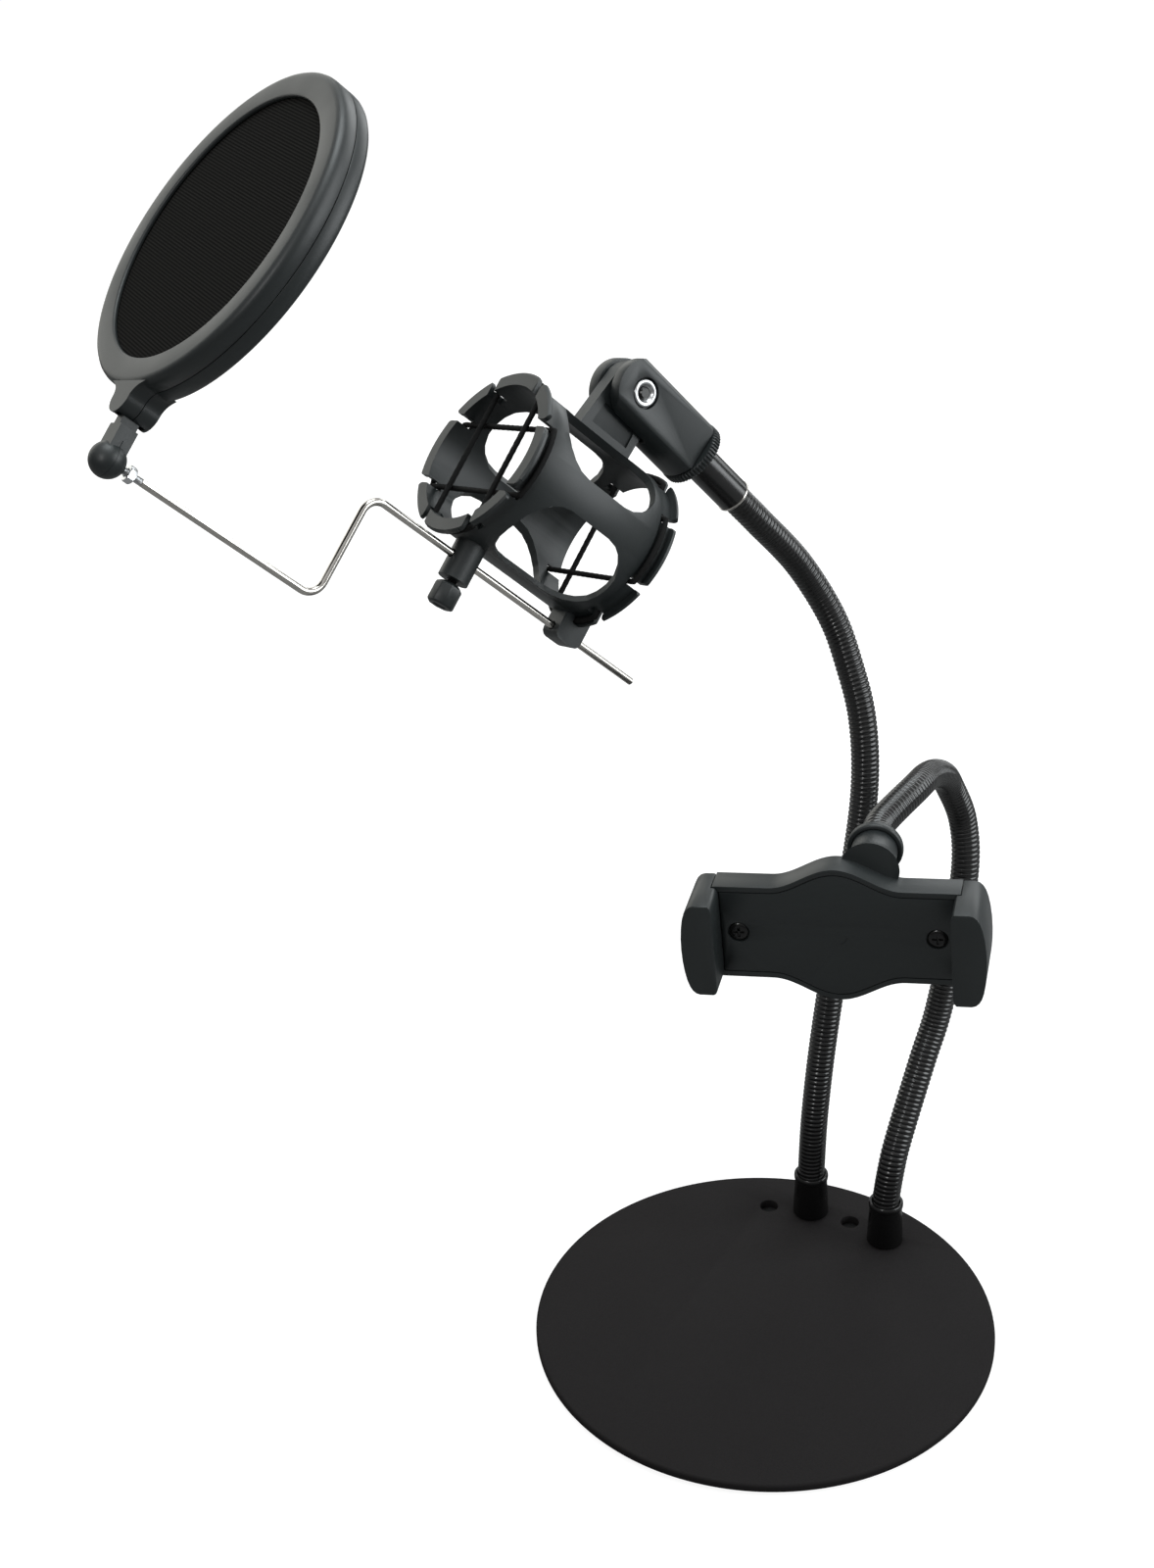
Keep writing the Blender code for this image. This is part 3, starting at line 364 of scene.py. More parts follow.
def combine(name, base, tools, matrix, finish_name, bevel=0.3):
    return settle(shaped(f"{name}_look", base, tools, matrix, finish_name, bevel), name)


def turned(profile, axis="z", sides=32, centre=(0, 0, 0)):
    """A solid of revolution from (radius, height) points; a closed outline makes a ring."""
    is_ring = profile[0] == profile[-1]
    points = profile[:-1] if is_ring else profile
    count = sides * FINE
    rings = []
    for radius, height in points:
        ring = []
        for i in range(count):
            angle = 2 * math.pi * i / count
            a, b = radius * math.cos(angle), radius * math.sin(angle)
            local = {"x": (height, a, b), "y": (b, height, a), "z": (a, b, height)}[axis]
            ring.append(Vector(local) + Vector(centre))
        rings.append(ring)
    return loft(rings, closed=is_ring)


def frame_matrix(origin, u, v, w):
    """Local millimetres to world metres: local x, y, z run along u, v, w."""
    rotation = Matrix((u, v, w)).transposed().to_4x4()
    return Matrix.Translation(origin * MM) @ rotation @ Matrix.Scale(MM, 4)


def head_axes():
    turn = Matrix.Rotation(math.radians(HEAD_AZIMUTH_DEG), 3, "Z")
    dip = Matrix.Rotation(math.radians(HEAD_DIP_DEG), 3, "Y")
    roll = Matrix.Rotation(math.radians(HEAD_ROLL_DEG), 3, "X")
    axes = turn @ dip @ roll
    u = axes @ Vector((1, 0, 0))
    v = axes @ Vector((0, 0, 1))
    return u, v, u.cross(v)


def phone_axes():
    turn = Matrix.Rotation(math.radians(PHONE_YAW_DEG), 3, "Z")
    roll = Matrix.Rotation(math.radians(PHONE_ROLL_DEG), 3, "Y")
    axes = turn @ roll
    return [axes @ Vector(axis) for axis in ((1, 0, 0), (0, 1, 0), (0, 0, 1))]


HEAD_U, HEAD_V, HEAD_W = head_axes()
WORLD = Matrix.Scale(MM, 4)
HEAD = frame_matrix(HEAD_ORIGIN, HEAD_U, HEAD_V, HEAD_W)
PHONE = frame_matrix(PHONE_ORIGIN, *phone_axes())
PIVOT = Matrix.Translation((PIVOT_U, PIVOT_V, 0))
SWIVEL = HEAD @ PIVOT @ Matrix.Rotation(math.radians(-SWIVEL_DROP_DEG), 4, "Z") @ PIVOT.inverted()


def barrel_point(u):
    """A point on the swivel barrel's axis."""
    return SWIVEL @ Vector((u, PIVOT_V, 0)) / MM


def mesh_from(bm, name):
    bmesh.ops.remove_doubles(bm, verts=bm.verts, dist=1e-4)
    bmesh.ops.recalc_face_normals(bm, faces=bm.faces)
    mesh = bpy.data.meshes.new(name)
    bm.to_mesh(mesh)
    bm.free()
    return mesh


def loft(rings, closed=False):
    """A bmesh skin over rings of equal length, with both ends capped unless it closes on itself."""
    bm = bmesh.new()
    rows = [[bm.verts.new(point) for point in ring] for ring in rings]
    pairs = list(zip(rows, rows[1:]))
    if closed:
        pairs.append((rows[-1], rows[0]))
    count = len(rows[0])
    for low, high in pairs:
        for i in range(count):
            j = (i + 1) % count
            bm.faces.new((low[i], low[j], high[j], high[i]))
    if not closed:
        bm.faces.new(rows[0])
        bm.faces.new(rows[-1])
    return bm


def tube_ring(inner, outer, low, high, axis="z", sides=32, centre=(0, 0, 0)):
    profile = [(outer, low), (outer, high), (inner, high), (inner, low), (outer, low)]
    return turned(profile, axis, sides, centre)


def prism(outline, low, high, axis="z", centre=(0, 0, 0)):
    """An outline of (a, b) points extruded along an axis."""
    rings = []
    for height in (low, high):
        ring = []
        for a, b in outline:
            local = {"x": (height, a, b), "y": (b, height, a), "z": (a, b, height)}[axis]
            ring.append(Vector(local) + Vector(centre))
        rings.append(ring)
    return loft(rings)


def box(low, high):
    outline = [(low[0], low[1]), (high[0], low[1]), (high[0], high[1]), (low[0], high[1])]
    return prism(outline, low[2], high[2])


def arc(centre, radius, start_deg, end_deg, steps):
    points = []
    for i in range(steps + 1):
        angle = math.radians(start_deg + (end_deg - start_deg) * i / steps)
        points.append((centre[0] + radius * math.cos(angle), centre[1] + radius * math.sin(angle)))
    return points


def rounded_rectangle(half_a, half_b, radius, steps=4, centre=(0, 0)):
    points = []
    for corner, (sa, sb) in enumerate(((1, 1), (-1, 1), (-1, -1), (1, -1))):
        middle = (centre[0] + sa * (half_a - radius), centre[1] + sb * (half_b - radius))
        points += arc(middle, radius, 90 * corner, 90 * corner + 90, steps)
    return points


def polygon(radius, sides, start_deg=0.0):
    step = 360.0 / sides
    angles = [math.radians(start_deg + step * i) for i in range(sides)]
    return [(radius * math.cos(angle), radius * math.sin(angle)) for angle in angles]


def smooth_path(knots):
    """Points along a Catmull-Rom curve through the knots, and each one's distance from the start."""
    knots = [Vector(knot) for knot in knots]
    padded = [2 * knots[0] - knots[1]] + knots + [2 * knots[-1] - knots[-2]]
    fine = []
    for p0, p1, p2, p3 in zip(padded, padded[1:], padded[2:], padded[3:]):
        for i in range(24):
            t = i / 24
            fine.append(
                0.5
                * (
                    2 * p1
                    + (p2 - p0) * t
                    + (2 * p0 - 5 * p1 + 4 * p2 - p3) * t**2
                    + (3 * p1 - p0 - 3 * p2 + p3) * t**3
                )
            )
    fine.append(knots[-1])
    lengths = [0.0]
    for a, b in zip(fine, fine[1:]):
        lengths.append(lengths[-1] + (b - a).length)
    return fine, lengths


def point_at(path, distance):
    fine, lengths = path
    distance = min(max(distance, 0.0), lengths[-1])
    for i in range(len(fine) - 1):
        if lengths[i + 1] >= distance:
            span = lengths[i + 1] - lengths[i]
            t = (distance - lengths[i]) / span if span else 0.0
            return fine[i].lerp(fine[i + 1], t)
    return fine[-1]


def foot_place(index):
    """The world x, y of one of the four holes, counted from the left as seen from the front."""
    angle = math.radians(HOLE_PITCH_DEG * (index - 1.5))
    return HOLE_CIRCLE * math.sin(angle), HOLE_CIRCLE * math.cos(angle)


MIC_FOOT = foot_place(1)
PHONE_FOOT = foot_place(3)


# ---- routes of the goosenecks ----


def mic_neck_knots():
    x, y = MIC_FOOT
    return [
        (x, y, NECK_FOOT_Z),
        (x, y, FERRULE_TOP + 1.0),
        (x + 0.5, y + 2.0, 60.0),
        (x + 1.0, y + 10.0, 97.0),
        (x + 2.3, y + 22.6, 140.0),
        (x + 4.5, y + 36.6, 180.0),
        (x + 4.8, y + 43.6, 212.0),
        (x + 0.8, y + 48.6, 240.0),
        (x - 7.2, y + 52.6, 262.0),
        (x - 16.2, y + 53.6, 283.0),
        (x - 28.2, y + 44.6, 309.0),
        barrel_point(NECK_END_U + 24),
        barrel_point(NECK_END_U + 12),
        barrel_point(NECK_END_U),
    ]


def phone_neck_knots():
    x, y = PHONE_FOOT
    end = PHONE @ Vector((SOCKET_X, NECK_END_Y, SOCKET_Z)) / MM
    near_end = PHONE @ Vector((SOCKET_X, NECK_END_Y + 12.0, SOCKET_Z + 0.6)) / MM
    return [
        (x, y, NECK_FOOT_Z),
        (x, y, FERRULE_TOP + 1.0),
        (x + 1.0, y + 2.6, 44.0),
        (x + 1.9, y + 8.8, 57.5),
        (x + 4.9, y + 28.0, 88.0),
        (x + 7.5, y + 39.0, 108.0),
        (x + 10.5, y + 48.0, 142.0),
        (x + 12.0, y + 54.0, 176.0),
        (x + 9.0, y + 56.5, 198.0),
        (x + 5.0, y + 49.0, 217.0),
        (x + 5.4, y + 36.0, 229.0),
        (x + 6.0, y + 18.0, 237.5),
        (x + 8.0, y - 6.0, 243.0),
        near_end,
        end,
    ]


def neck_stations(path):
    """Distances along the path where one link ends and the next begins."""
    total = path[1][-1]
    return [total * i / NECK_LINKS for i in range(NECK_LINKS + 1)]


# ---- shock mount ----


def slot_outline():
    """One notch as (outward, sideways) points, its mouth flared so that the tabs end in round lobes."""
    half = SLOT_WIDTH / 2
    flare = 2.4
    bend = [(flare * math.sin(a), flare - flare * math.cos(a)) for a in QUARTERS]
    inner = [(30.8 + y, -half - z) for y, z in bend]
    outer = [(28.0 + y, half + z) for y, z in reversed(bend)]
    mouth = [(45.0, -half - flare), (45.0, half + flare)]
    return [(24.0, -half), *inner, *mouth, *outer, (24.0, half)]


def basket_slots(face, depth):
    """Cutters for the eight notches that the elastic cords pass through, each along its own cord."""
    cutters = []
    low, high = sorted((face, face + depth))
    for quarter in range(4):
        spread = CROSS_SPREAD if quarter % 2 else UPRIGHT_SPREAD
        turn = Matrix.Rotation(math.radians(90 * quarter), 3, "X")
        for side in (-1, 1):
            middle = side * spread
            outline = [(y, middle + side * z) for y, z in slot_outline()]
            cutter = prism(outline, low, high, "x")
            bmesh.ops.rotate(cutter, verts=cutter.verts, cent=(0, 0, 0), matrix=turn)
            cutters.append(cutter)
    return cutters


def merged(parts):
    """Several bmeshes that don't touch, as one."""
    whole = bmesh.new()
    for part in parts:
        mesh = bpy.data.meshes.new("part")
        part.to_mesh(mesh)
        part.free()
        whole.from_mesh(mesh)
        bpy.data.meshes.remove(mesh)
    return whole


def basket_windows():
    """Four rounded windows between the ribs, cut from the axis outwards."""
    cutters = []
    middle = (FRONT_FACE + REAR_FACE) / 2 + 1.0
    for quarter in range(4):
        angle = math.radians(45 + 90 * quarter)
        outline = rounded_rectangle(25.0, 17.5, 15.0, 5, (middle, 0))
        cutter = prism(outline, 22.0, 50.0)
        turn = Matrix.Rotation(angle, 3, "X")
        bmesh.ops.rotate(cutter, verts=cutter.verts, cent=(0, 0, 0), matrix=turn)
        cutters.append(cutter)
    return cutters


def make_basket():
    groove = 2.6
    profile = [
        (FLANGE_RADIUS - 0.8, FRONT_FACE),
        (FLANGE_RADIUS, FRONT_FACE + 0.8),
        (FLANGE_RADIUS, FRONT_FACE + FLANGE_THICK),
        (BASKET_OUTER, CORD_FRONT - groove),
        (BASKET_OUTER, CORD_FRONT + groove),
        (BASKET_OUTER + 0.6, CORD_FRONT + groove + 0.8),
        (BASKET_OUTER + 0.6, CORD_REAR - groove - 0.8),
        (BASKET_OUTER, CORD_REAR - groove),
        (BASKET_OUTER, CORD_REAR + groove),
        (REAR_FLANGE_RADIUS, REAR_FACE - FLANGE_THICK),
        (REAR_FLANGE_RADIUS, REAR_FACE - 0.8),
        (REAR_FLANGE_RADIUS - 0.8, REAR_FACE),
        (BASKET_INNER - 0.6, REAR_FACE),
        (BASKET_INNER - 0.6, FRONT_FACE),
        (FLANGE_RADIUS - 0.8, FRONT_FACE),
    ]
    boss = turned([(6.2, WIRE_V - 8.5), (6.2, WIRE_V + 8.0)], "y", 20, (CLAMP_U, 0, 0))
    lug = prism(rounded_rectangle(6.6, 8.0, 3.0, 3, (67.4, WIRE_V + 4.0)), -4.8, 4.8)
    cord_outside = CORD_REACH + CORD_RADIUS + 0.5
    cord_end = CORD_REAR + groove - 0.1
    cord_way = tube_ring(BASKET_OUTER + 0.1, cord_outside, 65.6, cord_end, "x", 48)
    arm = [(26.0, 30.6), (54.0, 30.6)] + arc((PIVOT_U, PIVOT_V), TONGUE_RADIUS, 0, 180, 12)
    tongue = prism(arm, -TONGUE_HALF, TONGUE_HALF)
    inside = turned([(BASKET_INNER, FRONT_FACE - 5), (BASKET_INNER, REAR_FACE + 5)], "x", 48)
    wire_bore = turned([(WIRE_BORE, -20), (WIRE_BORE, 90)], "x", 16, (0, WIRE_V, 0))
    screw_bore = turned([(2.4, WIRE_V - 20), (2.4, WIRE_V - 0.5)], "y", 16, (CLAMP_U, 0, 0))
    pivot_bore = turned([(BOLT_HOLE, -20), (BOLT_HOLE, 20)], "z", 16, (PIVOT_U, PIVOT_V, 0))
    panel = [(31.0, 36.0), (51.0, 36.0), (51.0, 45.5), (32.5, 45.5)]
    tools = [
        ("DIFFERENCE", merged(basket_slots(FRONT_FACE - 2.0, CORD_FRONT - FRONT_FACE + 4.7))),
        ("DIFFERENCE", merged(basket_slots(REAR_FACE + 2.0, CORD_REAR - REAR_FACE - 4.7))),
        ("DIFFERENCE", merged(basket_windows())),
        ("UNION", boss),
        ("UNION", lug),
        ("DIFFERENCE", cord_way),
        ("UNION", tongue),
        ("DIFFERENCE", inside),
        ("DIFFERENCE", wire_bore),
        ("DIFFERENCE", screw_bore),
        ("DIFFERENCE", pivot_bore),
        ("DIFFERENCE", prism(panel, TONGUE_HALF - 0.8, TONGUE_HALF + 5)),
        ("DIFFERENCE", prism(panel, -TONGUE_HALF - 5, -TONGUE_HALF + 0.8)),
    ]
    combine("shock_basket", turned(profile, "x", 48), tools, HEAD, PLASTIC)


def cord_loop(u, turn_deg, spread):
    """One elastic: out round two opposite tabs, straight across between them, as a closed route."""
    half = math.asin(spread / CORD_REACH)
    route = []
    for centre in (0, math.pi):
        for i in range(9):
            angle = centre + half * (i - 4) / 4
            route.append((u, CORD_REACH * math.cos(angle), CORD_REACH * math.sin(angle)))
    turn = Matrix.Rotation(math.radians(turn_deg), 3, "X")
    return [turn @ Vector(point) for point in route]


# ---- routes of the wire and the hoop ----


def bend_points(corner, before, after, radius, steps=5):
    """A round corner between two straight runs that meet at a right angle."""
    corner = Vector(corner)
    d_in = (Vector(before) - corner).normalized()
    d_out = (Vector(after) - corner).normalized()
    centre = corner + radius * (d_in + d_out)
    points = []
    for i in range(steps + 1):
        angle = math.pi / 2 * i / steps
        points.append(centre - radius * (d_out * math.cos(angle) + d_in * math.sin(angle)))
    return points


def hoop_frame():
    """Local x is the hoop's axis, y runs from the ball to the hoop's centre, z across."""
    ball = Vector((BALL_U, WIRE_LOW_V, 0))
    rise = HOOP_CENTRE - ball
    rise.x = 0.0
    distance = rise.length
    up = rise.normalized()
    across = Vector((1, 0, 0)).cross(up)
    centre = Vector((HOOP_CENTRE.x, ball.y, ball.z)) + up * distance
    rotation = Matrix((Vector((1, 0, 0)), up, across)).transposed().to_4x4()
    return HEAD @ Matrix.Translation(centre) @ rotation, distance


HOOP, BALL_DISTANCE = hoop_frame()


# ---- outline of the phone clamp ----


def wavy_outline(inset, half_width, steps=10):
    """The clamp's outline as (z, x) points: flat at both ends with a round bulge in the middle."""

    def edge(x):
        swell = 0.0
        if abs(x) < BUMP_HALF:
            swell = (PLATE_HIGH - PLATE_LOW) * 0.5 * (1 + math.cos(math.pi * x / BUMP_HALF))
        return PLATE_LOW + swell - inset

    xs = [-half_width] + [BUMP_HALF * (2 * i / steps - 1) for i in range(steps + 1)] + [half_width]
    return [(edge(x), x) for x in xs] + [(-edge(x), x) for x in reversed(xs)]


# ---- base and feet ----


def make_base():
    edge = 1.2
    inside = BASE_RADIUS - edge
    low, high = PLATE_BOTTOM + edge, PLATE_TOP - edge
    profile = [(inside, PLATE_BOTTOM)]
    profile += [(inside + edge * math.sin(a), low - edge * math.cos(a)) for a in QUARTERS]
    profile += [(inside + edge * math.cos(a), high + edge * math.sin(a)) for a in QUARTERS]
    cuts = []
    for index in range(4):
        x, y = foot_place(index)
        cuts.append(("DIFFERENCE", turned([(HOLE_RADIUS, -1), (HOLE_RADIUS, 9)], "z", 24, (x, y, 0))))
        if index % 2:
            head_hole = [(SCREW_HEAD_RADIUS + 0.5, -1), (SCREW_HEAD_RADIUS + 0.5, PLATE_BOTTOM + 2.1)]
            cuts.append(("DIFFERENCE", turned(head_hole, "z", 24, (x, y, 0))))
    combine("base_plate", turned(profile, "z", 96), cuts, WORLD, POWDER, bevel=0.25)


def make_foot(name, place):
    low, high = FERRULE_BASE, FERRULE_TOP
    profile = [
        (7.9, low),
        (8.2, low + 0.5),
        (7.35, high - 3.2),
        (7.4, high - 3.0),
        (7.75, high - 2.6),
        (7.85, high - 1.5),
        (7.75, high - 0.5),
        (7.3, high),
        (TUBE_RADIUS + GAP + 0.1, high),
        (TUBE_RADIUS + GAP, high - 0.3),
        (TUBE_RADIUS + GAP, high - 7.2),
        (4.25, high - 7.2),
        (4.25, low),
        (7.9, low),
    ]
    node = f"{name}_foot_ferrule"
    new_object(node, mesh_from(turned(profile, "z", 28, (*place, 0)), node), BLACK_STEEL, WORLD)


# ---- goosenecks ----


def neck_mesh(path, low, high, name):
    """The wound tube between two distances: a helical rib, kept in step by an unturning frame."""
    bm = bmesh.new()
    count = max(2, round((high - low) / RING_STEP))
    rows = []
    for i in range(count + 1):
        distance = low + (high - low) * i / count
        centre = point_at(path, distance)
        along = (point_at(path, distance + 1.0) - point_at(path, distance - 1.0)).normalized()
        side = Vector((1, 0, 0))
        side = (side - along * side.dot(along)).normalized()
        front = along.cross(side)
        row = []
        for k in range(NECK_SIDES):
            angle = 2 * math.pi * k / NECK_SIDES
            swell = math.cos(2 * math.pi * distance / RIB_PITCH - angle)
            radius = TUBE_RADIUS - RIB_DEPTH * (0.5 - 0.5 * swell) ** 2
            spoke = side * math.cos(angle) + front * math.sin(angle)
            row.append(bm.verts.new(centre + radius * spoke))
        rows.append(row)
    for near, far in zip(rows, rows[1:]):
        for k in range(NECK_SIDES):
            after = (k + 1) % NECK_SIDES
            bm.faces.new((near[k], near[after], far[after], far[k]))
    bm.faces.new(rows[0])
    bm.faces.new(rows[-1])
    return mesh_from(bm, name)


def make_neck(name, knots):
    """Each piece runs from the middle of one link to the middle of the next, curving with the route through
    their joint.
    """
    path = smooth_path(knots)
    stations = neck_stations(path)
    middles = [(a + b) / 2 for a, b in zip(stations, stations[1:])]
    cuts = [0.0, *middles, path[1][-1]]
    bodies = ["base", *[f"{name}_{i}" for i in range(1, NECK_LINKS)]]
    for index, (low, high) in enumerate(zip(cuts, cuts[1:])):
        label = f"{name}_tube_{index}"
        obj = plain_object(label, neck_mesh(path, low, high, label), SLEEVE, WORLD)
        if index < NECK_LINKS:
            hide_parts(f"{name}_link_{index}")
        if index == 0 or index == NECK_LINKS:
            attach(obj, bodies[min(index, NECK_LINKS - 1)])
        else:
            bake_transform(obj)


# ---- elastic cords and the wire's clamp screw ----


def make_cords():
    loops = (
        ("front_cord_upright", CORD_FRONT - CORD_STEP, 0, UPRIGHT_SPREAD),
        ("front_cord_cross", CORD_FRONT + CORD_STEP, 90, CROSS_SPREAD),
        ("rear_cord_upright", CORD_REAR + CORD_STEP, 0, UPRIGHT_SPREAD),
        ("rear_cord_cross", CORD_REAR - CORD_STEP, 90, CROSS_SPREAD),
    )
    for name, u, turn_deg, spread in loops:
        fine = []
        points = cord_loop(u, turn_deg, spread)
        for i, point in enumerate(points):
            after = points[(i + 1) % len(points)]
            pieces = max(1, round((after - point).length / 0.6))
            fine += [point.lerp(after, k / pieces) for k in range(pieces)]
        rings = []
        for i, point in enumerate(fine):
            before, after = fine[i - 1], fine[(i + 1) % len(fine)]
            along = (after - before).normalized()
            outward = along.cross(Vector((1, 0, 0))).normalized()
            ring = []
            for side in range(12):
                angle = math.pi * side / 6
                spoke = outward * math.cos(angle) + Vector((1, 0, 0)) * math.sin(angle)
                braid = 1 + 0.04 * math.cos(2 * angle + i * 1.2)
                ring.append(point + CORD_RADIUS * braid * spoke)
            rings.append(ring)
        new_object(name, mesh_from(loft(rings, closed=True), name), ELASTIC, HEAD)


def thread_profile(radius, low, high, pitch=0.5, depth=0.16):
    """Outline points for a fine thread: a saw edge along the axis."""
    count = max(1, round((high - low) / pitch))
    step = (high - low) / count
    points = []
    for i in range(count):
        points += [(radius - depth, low + step * i), (radius, low + step * (i + 0.5))]
    return [*points, (radius - depth, high)]


def make_clamp_screw():
    """The exposed thread and a faceted knob with a chamfered rim."""
    tip = WIRE_V - WIRE_BORE
    knob = WIRE_V - 10.0
    centre = (CLAMP_U, 0, 0)
    thread = thread_profile(2.1, knob - 0.5, tip - 0.4)
    spindle = turned([(0.0, knob - 0.5), *thread, (1.5, tip), (0.0, tip)], "y", 16, centre)
    obj = plain_object("clamp_screw_thread", mesh_from(spindle, "thread"), BLACK_STEEL, HEAD)
    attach(obj, BODY_OF["clamp_screw"])
    facets = polygon(5.6, 8, 22.5)
    rings = []
    for scale, drop in ((0.62, 0.0), (0.97, 1.2), (1.0, 2.0), (1.0, 8.8), (0.88, 9.6)):
        rings.append([Vector((CLAMP_U + scale * b, knob - drop, scale * a)) for a, b in facets])
    grip = [("DIFFERENCE", turned([(2.6, knob - 9.0), (2.9, knob - 11.0)], "y", 16, centre))]
    combine("clamp_screw", loft(rings), grip, HEAD, PLASTIC, bevel=0.45)


# ---- swivel head ----


def make_neck_top():
    axis = (0, PIVOT_V, 0)
    profile = [
        (0.0, 62.0),
        (TIP_RADIUS, 62.0),
        (TIP_RADIUS, COLLAR_REAR + 1.5),
        (7.3, COLLAR_REAR + 1.5),
        (7.35, 90.0),
        (7.3, 98.0),
        (7.3, 110.6),
        (0.0, 110.6),
    ]
    socket = [(TUBE_RADIUS + GAP, NECK_END_U - GAP), (TUBE_RADIUS + GAP, 116.0)]
    combine(
        "mic_top_ferrule",
        turned(profile, "x", 32, axis),
        [("DIFFERENCE", turned(socket, "x", 32, axis))],
        SWIVEL,
        SLEEVE,
        bevel=0.0,
    )
    rim = [(7.45, 110.7), (7.6, 111.0), (7.6, 111.5), (7.3, 111.9), (6.5, 111.9), (6.5, 110.7)]
    rim.append(rim[0])
    obj = plain_object("ferrule_rim", mesh_from(turned(rim, "x", 32, axis), "rim"), STEEL, SWIVEL)
    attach(obj, BODY_OF["mic_top_ferrule"])
    insets = (0.5, 0.0, 0.0, 0.7)
    heights = (COLLAR_FRONT, COLLAR_FRONT + 0.5, COLLAR_REAR - 0.5, COLLAR_REAR)
    rings = []
    for height, inset in zip(heights, insets):
        ring = []
        for i in range(4 * RING_TEETH):
            angle = math.pi * i / (2 * RING_TEETH)
            radius = (13.9, 13.9, 13.2, 13.2)[i % 4] - inset
            ring.append(Vector((height, PIVOT_V + radius * math.cos(angle), radius * math.sin(angle))))
        rings.append(ring)
    hole = TIP_RADIUS + 0.4
    bore = turned([(hole, 70), (hole, 95)], "x", 24, axis)
    combine("lock_ring", loft(rings), [("DIFFERENCE", bore)], SWIVEL, PLASTIC, bevel=0.0)


def make_swivel():
    axis = (0, PIVOT_V, 0)
    rim = BARREL_END - 0.8
    profile = [(BARREL_RADIUS, 20.0), (BARREL_RADIUS, rim), (BARREL_RADIUS - 0.8, BARREL_END)]
    keep = arc((PIVOT_U, PIVOT_V), BARREL_RADIUS - 0.2, 90, 270, 40)
    keep = [(BARREL_END + 5, PIVOT_V + 20), (PIVOT_U, PIVOT_V + 20)] + keep
    keep = keep + [(PIVOT_U, PIVOT_V - 20), (BARREL_END + 5, PIVOT_V - 20)]
    slot_half = TONGUE_HALF + WASHER_THICK + 2 * GAP
    slot = box((10.0, PIVOT_V - 20, -slot_half), (PIVOT_U + 15.5, PIVOT_V + 20, slot_half))
    centre = (PIVOT_U, PIVOT_V, 0)
    seat = CHEEK_HALF - SEAT_DEPTH
    tip_hole = TIP_RADIUS + 0.35
    tools = [
        ("INTERSECT", prism(keep, -CHEEK_HALF, CHEEK_HALF)),
        ("DIFFERENCE", slot),
        ("DIFFERENCE", turned([(tip_hole, 58.0), (tip_hole, BARREL_END + 4)], "x", 24, axis)),
        ("DIFFERENCE", turned([(BOLT_HOLE, -20), (BOLT_HOLE, 20)], "z", 16, centre)),
        ("DIFFERENCE", turned([(SEAT_RADIUS, seat), (SEAT_RADIUS, 20)], "z", 28, centre)),
        ("DIFFERENCE", turned([(SEAT_RADIUS, -20), (SEAT_RADIUS, -seat)], "z", 28, centre)),
    ]
    base = turned(profile, "x", 64, axis)
    combine("swivel_barrel", base, tools, SWIVEL, PLASTIC, bevel=1.2)
    top = seat + 2.2
    head = [(0.0, 2.4), (3.6, 2.6), (4.8, 2.4), (5.2, 1.8), (5.2, GAP), (BOLT_RADIUS, GAP)]
    bolt = [(radius, -seat - drop) for radius, drop in head]
    bolt += [(BOLT_RADIUS, 0.0), *thread_profile(BOLT_RADIUS, 0.2, top - 0.5), (1.9, top), (0.0, top)]
    new_object("pivot_bolt", mesh_from(turned(bolt, "z", 16, centre), "bolt"), BLACK_STEEL, SWIVEL)
    low, high = seat + GAP, seat + 2.5
    nut = [(BOLT_HOLE, low), (5.3, low), (5.5, low + 0.2), (5.5, high - 0.6), (5.3, high - 0.2), (4.9, high)]
    nut += [(4.1, high), (3.6, high - 0.3), (3.3, high - 0.9), (BOLT_HOLE, high - 1.2), (BOLT_HOLE, low)]
    new_object("pivot_nut", mesh_from(turned(nut, "z", 28, centre), "nut"), ZINC, SWIVEL)


# ---- wire arm and hoop ----


def wire_mesh(route, radii, name, sides=20):
    """A round rod through the points, with its own radius at each."""
    rings = []
    side = Vector((0, 0, 1))
    for i, point in enumerate(route):
        before = route[max(0, i - 1)]
        after = route[min(len(route) - 1, i + 1)]
        along = (after - before).normalized()
        side = (side - along * side.dot(along)).normalized()
        front = along.cross(side)
        ring = []
        for k in range(sides):
            angle = 2 * math.pi * k / sides
            ring.append(point + radii[i] * (side * math.cos(angle) + front * math.sin(angle)))
        rings.append(ring)
    return mesh_from(loft(rings), name)


